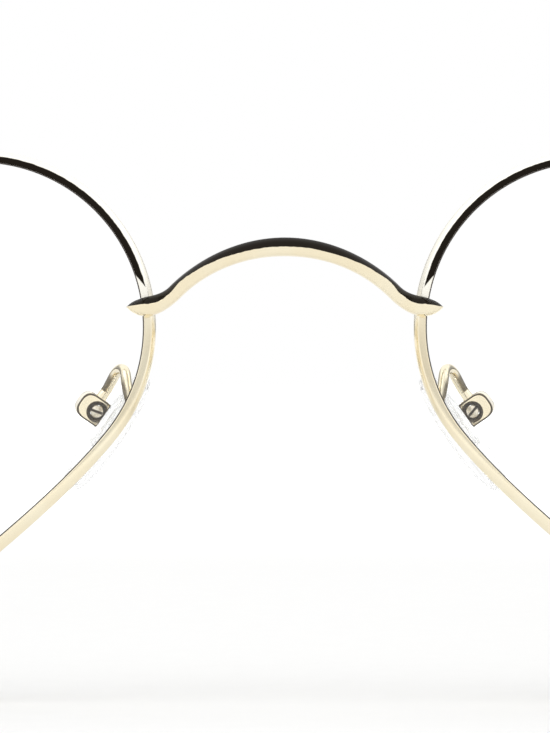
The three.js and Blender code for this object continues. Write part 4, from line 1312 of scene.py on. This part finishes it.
# %% Pad arm pieces
PAD_ARM_DIAMETER = 0.8
PAD_ARM_LOOP = 2.75
PAD_ARM_STUB = 0.6
PAD_ARM_RISE_BACK = 0.1
PAD_ARM_TOP_BACK = 0.33
PAD_ARM_TOP_OUT = 0.27
PAD_ARM_END = 0.1
SOLDER_SINK = 0.15
SOLDER_SWELL = 0.08
SOLDER_LENGTH = 0.5
WIRE_SHADE_LENGTH = 3.2
PAD_BOX_HALF_HEIGHT = 1.0
PAD_BOX_WALL = 0.65
PAD_TAB_THICKNESS = 0.9

slot_half = PAD_TAB_THICKNESS / 2 + RUNNING_GAP
box_half_depth = slot_half + PAD_BOX_WALL


def pad_arm_points():
    wall_middle = slot_half + PAD_BOX_WALL / 2
    end = PAD_FRAME @ Vector((-PAD_ARM_END, -wall_middle, PAD_BOX_HALF_HEIGHT - SOLDER_SINK))
    stub = arm_root + Vector((0, PAD_ARM_STUB, 0))
    drop = end + pad_up * (PAD_ARM_STUB + SEAT_GAP + SOLDER_SINK)
    way_back = end.y - stub.y
    top_x = arm_root.x + PAD_ARM_TOP_OUT * (end.x - arm_root.x)
    top = Vector((top_x, stub.y + PAD_ARM_TOP_BACK * way_back, arm_root.z + PAD_ARM_LOOP))
    rise = (arm_root + top) / 2
    rise.y = stub.y + PAD_ARM_RISE_BACK * way_back
    return [arm_root, stub, rise, top, drop, (drop + end) / 2, end]


arm_mesh = pad_wire.grow(
    path=path_object("pad_arm_path", pad_arm_points(), smooth=True),
    wire_diameter=PAD_ARM_DIAMETER,
    solder=SOLDER_SWELL,
    solder_length=SOLDER_LENGTH,
    dull_length=WIRE_SHADE_LENGTH,
    finish=pale_gold,
)
finish_pair("pad_wire", arm_mesh, pale_gold, "front", "pad_arm")

# %% [markdown]
# ## Pad boxes
# A pad box is a cup of about 2 mm with a round back, a slot for the pad's tab and a hole across it
# for the screw, countersunk in the front wall so that the screw's head is sunk in it. It is made as
# the real one is: a block with rounded edges, and then a slot and holes cut in it. The walls of the
# holes and the rounded edges are marked for painted shade, which draws the box with dark lines.

# %% Pad box pieces
PAD_BOX_INNER = 0.62
PAD_BOX_OUTER = 1.5
PAD_BOX_WEB = 0.5
PAD_SCREW_RADIUS = 0.4
PAD_SCREW_HEAD_RADIUS = 0.44
COUNTERSINK = 0.31
PAD_BOX_EDGE = 0.17
EDGE_STEPS = 5
NOSE_CORNER, OUTER_CORNER = 0.12, 0.85
# How far a cut runs on past a face, so that no two faces lie in one plane.
CUT_PAST = 0.05
# A rounded edge faces neither along the screw nor square to it.
EDGE_FACING = (0.1, 0.98)

# Turns a shape that was made along Z so that it lies along the pad screw, with its top to the front.
TO_FRONT = Matrix.Rotation(-QUARTER, 4, "X")


def pad_box_ring(height, shrink):
    right, left, top = PAD_BOX_INNER - shrink, shrink - PAD_BOX_OUTER, PAD_BOX_HALF_HEIGHT - shrink
    corners = [Vector(c) for c in ((right, top), (left, top), (left, -top), (right, -top))]
    outline = rounded(corners, [NOSE_CORNER, OUTER_CORNER, OUTER_CORNER, NOSE_CORNER], steps=8)
    return [Vector((p.x, p.y, height)) for p in outline]


def pad_box_mesh():
    rings = []
    for turn in even_steps(0.0, QUARTER, EDGE_STEPS):
        inset = PAD_BOX_EDGE * (1 - math.cos(turn))
        rings.append(pad_box_ring(inset - box_half_depth, PAD_BOX_EDGE * (1 - math.sin(turn))))
    rings += [[Vector((p.x, p.y, -p.z)) for p in ring] for ring in reversed(rings)]
    far = 4 * PAD_BOX_HALF_HEIGHT
    slot = block((PAD_BOX_WEB - PAD_BOX_OUTER, -far, -slot_half), (far, far, slot_half))
    hole = PAD_SCREW_HEAD_RADIUS + SEAT_GAP
    sunk = hole + COUNTERSINK
    head_hole = bar(hole, 0, far)
    shank_hole = bar(PAD_SCREW_RADIUS + SEAT_GAP, -far, 2 * CUT_PAST)
    mouth_rings = [(hole - CUT_PAST, -COUNTERSINK - CUT_PAST), (sunk, 0), (sunk, far)]
    sink = loft([circle(radius, box_half_depth + height) for radius, height in mouth_rings])
    body = carved(loft(rings), "DIFFERENCE", slot, head_hole, shank_hole, sink)
    paint_hole_shade(body, sunk)
    # The rounded edges get painted shade too, which draws the box with dark outlines.
    recess = body.attributes["recess"]
    for polygon in body.polygons:
        if EDGE_FACING[0] < abs(polygon.normal.z) < EDGE_FACING[1]:
            recess.data[polygon.index].value = 1.0
    body.transform(PAD_FRAME @ TO_FRONT)
    return body


finish_pair("pad_cup", pad_box_mesh(), pale_gold, "front", "pad_box", cut=True)

# %% [markdown]
# ## Nose pads
# A pad is moulded from clear silicone. It is an oval that is wider below than above, with a crowned
# face for the nose and a pocket in its back for the plate of its insert. A cloth simulation suits
# what is stuffed; this is solid all through, so rings of one oval, each scaled to follow the crown,
# make it.

# %% Nose pad pieces
PAD_ROCK_ROOM = 0.3
PAD_LENGTH = 10.4
PAD_WIDTH = 6.4
PAD_THICKNESS = 1.9
PAD_HANG = 0.9
PAD_NARROWING = 0.16
PLATE_LENGTH, PLATE_WIDTH, PLATE_THICKNESS = 4.6, 2.6, 0.5
POCKET_LIP = 0.06
OVAL_SIDES = 72
FLAT_SHARE, BACK_SHARE = 0.7, 0.84
WIDEST_SHARE = 0.45
EDGE_RINGS, CROWN_RINGS = 8, 16
# The crown stops just short of its pole, where the last ring closes it.
CROWN_END = math.radians(89)

pad_back = PAD_BOX_INNER + PAD_ROCK_ROOM


def oval(length, width, depth, narrowing=0.0, shift=0.0):
    ring = []
    for turn in even_steps(0, 2 * math.pi, OVAL_SIDES)[:-1]:
        across = width / 2 * (1 - narrowing * math.cos(turn)) * math.sin(turn)
        ring.append(Vector((depth, across, length / 2 * math.cos(turn) + shift)))
    return ring


def nose_pad_mesh():
    room = 2 * SEAT_GAP

    def pocket(depth):
        return oval(PLATE_LENGTH + room, PLATE_WIDTH + room, pad_back + depth)

    def skin(share, depth):
        reach = pad_back + depth * PAD_THICKNESS
        return oval(PAD_LENGTH * share, PAD_WIDTH * share, reach, PAD_NARROWING, -PAD_HANG)

    rings = [pocket(PLATE_THICKNESS + room), pocket(POCKET_LIP), pocket(0.0), skin(FLAT_SHARE, 0.0)]
    for turn in even_steps(0.0, QUARTER, EDGE_RINGS):
        share = part_way(BACK_SHARE, 1, math.sin(turn))
        rings.append(skin(share, WIDEST_SHARE * (1 - math.cos(turn))))
    for turn in even_steps(0.0, CROWN_END, CROWN_RINGS)[1:]:
        crown = part_way(WIDEST_SHARE, 1, math.sin(turn))
        rings.append(skin(math.sqrt(math.cos(turn)), crown))
    mesh = loft(rings)
    mesh.transform(PAD_FRAME)
    return mesh


soft_pads = finish_pair("soft_pad", nose_pad_mesh(), soft_silicone, "{side}_pad", "nose_pad", crease=50)

# %% [markdown]
# ## Pad inserts
# An insert is hard clear plastic: an oval plate in the pad's pocket, and a tab that goes into the
# pad box and turns on the pad screw. Plate and tab have their edges softened, are joined, and only
# then drilled, which leaves one closed piece with one clean hole.

# %% Pad insert pieces
PAD_TAB_RADIUS = 0.8
TAB_CHAMFER = 0.05
TAB_STEPS = 24
PLATE_EDGE = 0.1


def tab_ring(level, shrink, reach):
    """The tab's outline: square where it meets the plate, round about the screw."""
    radius = PAD_TAB_RADIUS - shrink
    turns = even_steps(QUARTER, 3 * QUARTER, TAB_STEPS)
    round_end = [Vector((radius * math.cos(a), level, radius * math.sin(a))) for a in turns]
    return [Vector((reach, level, radius)), *round_end, Vector((reach, level, -radius))]


def pad_insert_mesh():
    near = pad_back + SEAT_GAP
    far = near + PLATE_THICKNESS
    plate = loft([oval(PLATE_LENGTH, PLATE_WIDTH, depth) for depth in (near, far)])
    plate = softened(plate, PLATE_EDGE)
    half = PAD_TAB_THICKNESS / 2
    edges = [(-half, TAB_CHAMFER), (TAB_CHAMFER - half, 0), (half - TAB_CHAMFER, 0), (half, TAB_CHAMFER)]
    tab = loft([tab_ring(level, shrink, (near + far) / 2) for level, shrink in edges])
    hole = bar(PAD_SCREW_RADIUS + RUNNING_GAP, -PAD_TAB_THICKNESS, PAD_TAB_THICKNESS)
    hole.transform(TO_FRONT)
    insert = carved(carved(plate, "UNION", tab), "DIFFERENCE", hole)
    insert.transform(PAD_FRAME)
    return insert


finish_pair("pad_plate", pad_insert_mesh(), moulded_insert, "{side}_pad", "pad_insert", cut=True)

# %% [markdown]
# ## Screws
# Six slotted screws hold the glasses together, in three sizes: two close the eyewires, two are the
# hinge pins and two hold the pads. They repeat, so a tree makes one screw from its sizes, a domed
# head on a shank with a slot cut through it, and sets a copy on each point of a small mesh. Each
# point carries the turn of its screw, because no two slots ever stop at the same angle.

# %% Screw tree
HEAD_SIDES, HEAD_RINGS, SHANK_SIDES = 40, 5, 32

shank_sizes = ["shank_radius", "shank_length"]
head_sizes = ["head_radius", "head_height", "dome", "slot_width", "slot_depth"]
screws = Growth("slotted_screws", ["places"], shank_sizes + head_sizes)


def build_screw_tree(tree, given):
    radius, height = given["head_radius"], given["head_height"]

    def lifted(geometry, lift):
        move = {"Geometry": geometry, "Translation": tree.vector(z=lift)}
        return tree.add("GeometryNodeTransform", {}, move)

    def cylinder(fill, sizes):
        return tree.add("GeometryNodeMeshCylinder", {"fill_type": fill}, sizes, take="Mesh")

    sizes = {"Vertices": HEAD_SIDES, "Fill Segments": HEAD_RINGS, "Radius": radius, "Depth": height}
    head = lifted(cylinder("TRIANGLE_FAN", sizes), height * 0.5)
    position = tree.add("GeometryNodeInputPosition")
    share = tree.off_axis(position) / radius
    fall = given["dome"] * share**3.0 * tree.axis(position, "Z") / height * -1.0
    head = tree.add("GeometryNodeSetPosition", {}, {"Geometry": head, "Offset": tree.vector(z=fall)})

    buried = height * 0.5
    length = given["shank_length"]
    sizes = {"Vertices": SHANK_SIDES, "Radius": given["shank_radius"], "Depth": length + buried}
    shank = lifted(cylinder("NGON", sizes), (buried - length) * 0.5)
    whole = tree.add("GeometryNodeMeshBoolean", {"operation": "UNION"}, {"Mesh 2": [head, shank]})

    slot_size = tree.vector(radius * 4.0, given["slot_width"], given["slot_depth"] * 2.0)
    slot = lifted(tree.add("GeometryNodeMeshCube", {}, {"Size": slot_size}, take="Mesh"), height)
    cut = {"Mesh 1": whole, "Mesh 2": [slot]}
    screw = tree.add("GeometryNodeMeshBoolean", {"operation": "DIFFERENCE"}, cut)
    screw = tree.store(screw, "FLOAT_VECTOR", spot=position)

    turn = tree.stored("turn", "QUATERNION")
    copies = {"Points": tree.shape("places"), "Instance": screw, "Rotation": turn}
    tree.end(tree.add("GeometryNodeInstanceOnPoints", {}, copies))


build_screw_tree(screws, screws.inputs)

# %% Screw pieces
SLOT_DEPTH = 0.2
# Each head has a radius, a height and how far its dome falls.
RIM_SCREW_HEAD = (0.85, 0.45, 0.12)
HINGE_SCREW_HEAD = (0.9, 0.5, 0.14)
PAD_SCREW_HEAD = (PAD_SCREW_HEAD_RADIUS, PAD_BOX_WALL - SEAT_GAP, 0.1)

hinge_half = knuckle_pitch + KNUCKLE_HEIGHT / 2


def flip(vector):
    return Vector((-vector.x, vector.y, vector.z))


def set_screws(name, node, place, facing, slot_turns, shank, head):
    """Two screws, one on each side; place and facing are the left one's."""
    mesh = bpy.data.meshes.new(f"{name}_places")
    mesh.from_pydata([place, flip(place)], [], [])
    turn = mesh.attributes.new("turn", "QUATERNION", "POINT")
    for spot, way, degrees in zip(turn.data, (facing, flip(facing)), slot_turns):
        slot_turn = Quaternion((0, 0, 1), math.radians(degrees))
        spot.value = way.to_track_quat("Z", "Y") @ slot_turn
    grown = screws.grow(
        places=placed(mesh.name, mesh),
        shank_radius=shank[0],
        shank_length=shank[1],
        head_radius=head[0],
        head_height=head[1],
        dome=head[2],
        slot_width=2 * SLOT_HALF,
        slot_depth=SLOT_DEPTH,
        finish=turned_steel,
    )
    finish_piece(name, grown, turned_steel, "front", [f"left_{node}", f"right_{node}"], cut=True)


set_screws(
    "rim_lock_screws",
    "rim_screw",
    place=Vector((lock_x, lock_y, lock_levels["lower"] - SEAT_GAP)),
    facing=Vector((0, 0, -1)),
    slot_turns=(20, -55),
    shank=(RIM_SCREW_RADIUS, 2 * LOCK_HEIGHT + RIM_SPLIT),
    head=RIM_SCREW_HEAD,
)
set_screws(
    "hinge_pin_screws",
    "hinge_screw",
    place=Vector((hinge_x, HINGE_Y, hinge_half + SEAT_GAP)),
    facing=Vector((0, 0, 1)),
    slot_turns=(35, 70),
    shank=(HINGE_SCREW_RADIUS, 2 * hinge_half),
    head=HINGE_SCREW_HEAD,
)
set_screws(
    "pad_cup_screws",
    "pad_screw",
    place=PAD_FRAME @ Vector((0, slot_half, 0)),
    facing=pad_front,
    slot_turns=(50, -20),
    shank=(PAD_SCREW_RADIUS, box_half_depth + slot_half),
    head=PAD_SCREW_HEAD,
)

# %% [markdown]
# ## Floor
# The glasses stand in a white tent, on a plain pale floor. Paper alone would come out grey, and a
# glowing sheet alone would lose the shadow. So the floor takes the shadow like any matt paper, and
# adds enough glow of its own, for the camera and for reflections, to reach white.

# %% Floor
FLOOR_HALF = 6.0
PAPER_SHADE, PAPER_WHITE = (0.78, 0.78, 0.775, 1), (0.8, 0.8, 0.795, 1)
# The glow grows from near the glasses outwards, over distances in metres.
GLOW_NEAR, GLOW_ADDED = 0.07, 0.43
GLOW_FROM, GLOW_FULL = 0.15, 0.6
GLOW_IN_METAL = 0.5


def floor_finish():
    material, tree, place = new_finish("pale_floor")
    tooth = tree.noise(place, scale=300)
    paper = tree.add("ShaderNodeBsdfDiffuse", {}, {"Color": tree.mix(tooth, PAPER_SHADE, PAPER_WHITE)})
    seen = tree.seen() + GLOW_IN_METAL * tree.ray("Glossy")
    strength = seen * (GLOW_NEAR + GLOW_ADDED * tree.ramp(tree.off_axis(place), GLOW_FROM, GLOW_FULL))
    glow = tree.add("ShaderNodeEmission", {}, {"Color": (1, 1, 1, 1), "Strength": strength})
    tree.surface(tree.add("ShaderNodeAddShader", {}, {0: paper, 1: glow}))
    return material


floor_mesh = bpy.data.meshes.new("pale_floor")
floor_corners = [(x * FLOOR_HALF, y * FLOOR_HALF, 0) for x, y in ((-1, -1), (1, -1), (1, 1), (-1, 1))]
floor_mesh.from_pydata(floor_corners, [], [(0, 1, 2, 3)])
floor_mesh.materials.append(floor_finish())
placed("pale_floor", floor_mesh)
print("floor:", 2 * FLOOR_HALF, "m square")

# %% [markdown]
# ## World and lamps
# The world is white cloth, brighter above, but a real tent has a dimmer opening for the camera, and
# dark flags stand low behind the glasses; polished metal needs these darker places, or its edges
# have nothing to show. A picture of a studio could do it, but a few ramps of the direction need no
# file and are easy to change. The camera itself sees plain white. Two softboxes give the shadow a
# direction.

# %% World and lamps
CLOTH, CLOTH_ABOVE = 0.93, 0.2
OPENING_DIMMER, FLAGS_DIMMER = 0.25, 0.8
BEHIND_GLASS = 1.06
# Where these begin and are full, or begin to end and have ended, on a sphere of radius 1.
ABOVE = (0.1, 0.2)
OPENING_ROUND = (math.cos(math.radians(36)), math.cos(math.radians(14)))
OPENING_TOP = (0.08, 0.16)
FLAGS_NEAR, FLAGS_FAR, FLAGS_TOP = (0.15, 0.35), (0.75, 0.9), (0.35, 0.65)


def build_tent():
    world = bpy.data.worlds.new("white_tent")
    bpy.context.scene.world = world
    world.use_nodes = True
    world.node_tree.nodes.clear()
    tree = Tree(world.node_tree)
    way = tree.add("ShaderNodeTexCoord", take="Generated")
    up = tree.axis(way, "Z")
    back = tree.axis(way, "Y")
    opening = tree.ramp(back * -1.0, *OPENING_ROUND) * (1 - tree.ramp(up, *OPENING_TOP))
    flags = tree.ramp(back, *FLAGS_NEAR) * (1 - tree.ramp(back, *FLAGS_FAR))
    flags = flags * (1 - tree.ramp(up, *FLAGS_TOP))
    cloth = CLOTH + CLOTH_ABOVE * tree.ramp(up, *ABOVE) - OPENING_DIMMER * opening - FLAGS_DIMMER * flags
    camera, seen = tree.ray("Camera"), tree.seen()
    strength = camera + (seen - camera) * BEHIND_GLASS + (1 - seen) * cloth
    light = tree.add("ShaderNodeBackground", {}, {"Color": (1, 1, 1, 1), "Strength": strength})
    tree.add("ShaderNodeOutputWorld", {}, {"Surface": light})


def softbox(name, place, aim, size, power):
    lamp = bpy.data.lights.new(name, "AREA")
    lamp.shape = "RECTANGLE"
    lamp.size, lamp.size_y = size
    lamp.energy = power
    holder = placed(name, lamp)
    holder.location = place
    holder.rotation_euler = (Vector(aim) - Vector(place)).to_track_quat("-Z", "Y").to_euler()
    holder.visible_camera = False


build_tent()
softbox("key_softbox", place=(-0.5, -0.6, 0.9), aim=(0, -0.02, 0.02), size=(0.9, 0.7), power=1.6)
softbox("fill_softbox", place=(0.7, -0.3, 0.6), aim=(0, 0, 0.02), size=(0.6, 0.6), power=0.7)
print("lamps: two softboxes in a white tent")

# %% [markdown]
# ## Camera
# The photograph looks straight at the front, level, from not very near: the two eyewires are
# equally large and no side shows. Its scale gives the frame. The eyewires come within 20 mm of each
# other, which is 270 pixels, so the picture, 733 pixels high, holds 54.3 mm at that distance. From
# the distance and that height follows the lens.

# %% Camera
PIXELS_PER_MM = 13.5
PICTURE_HEIGHT = 733
CAMERA_DISTANCE = 350.0
CAMERA_ASIDE = -0.73
CAMERA_BELOW = 4.4
SENSOR = 36.0
NEAREST_SEEN = 0.01

nasal_plane = eye_surface(-HEART_HALF, 0.0) - RIM_DEPTH / 2
view_height = PICTURE_HEIGHT / PIXELS_PER_MM
camera_data = bpy.data.cameras.new("photo_camera")
camera_data.sensor_width = SENSOR
camera_data.lens = SENSOR * CAMERA_DISTANCE / view_height
camera_data.clip_start = NEAREST_SEEN
camera = placed("photo_camera", camera_data)
camera.location = TO_FRAME @ Vector((CAMERA_ASIDE, nasal_plane - CAMERA_DISTANCE, -CAMERA_BELOW))
camera.rotation_euler = (QUARTER, 0, 0)
bpy.context.scene.camera = camera
bpy.context.scene.view_settings.view_transform = "Standard"
print(f"camera: {camera_data.lens:.0f} mm lens, {CAMERA_DISTANCE:.0f} mm away")
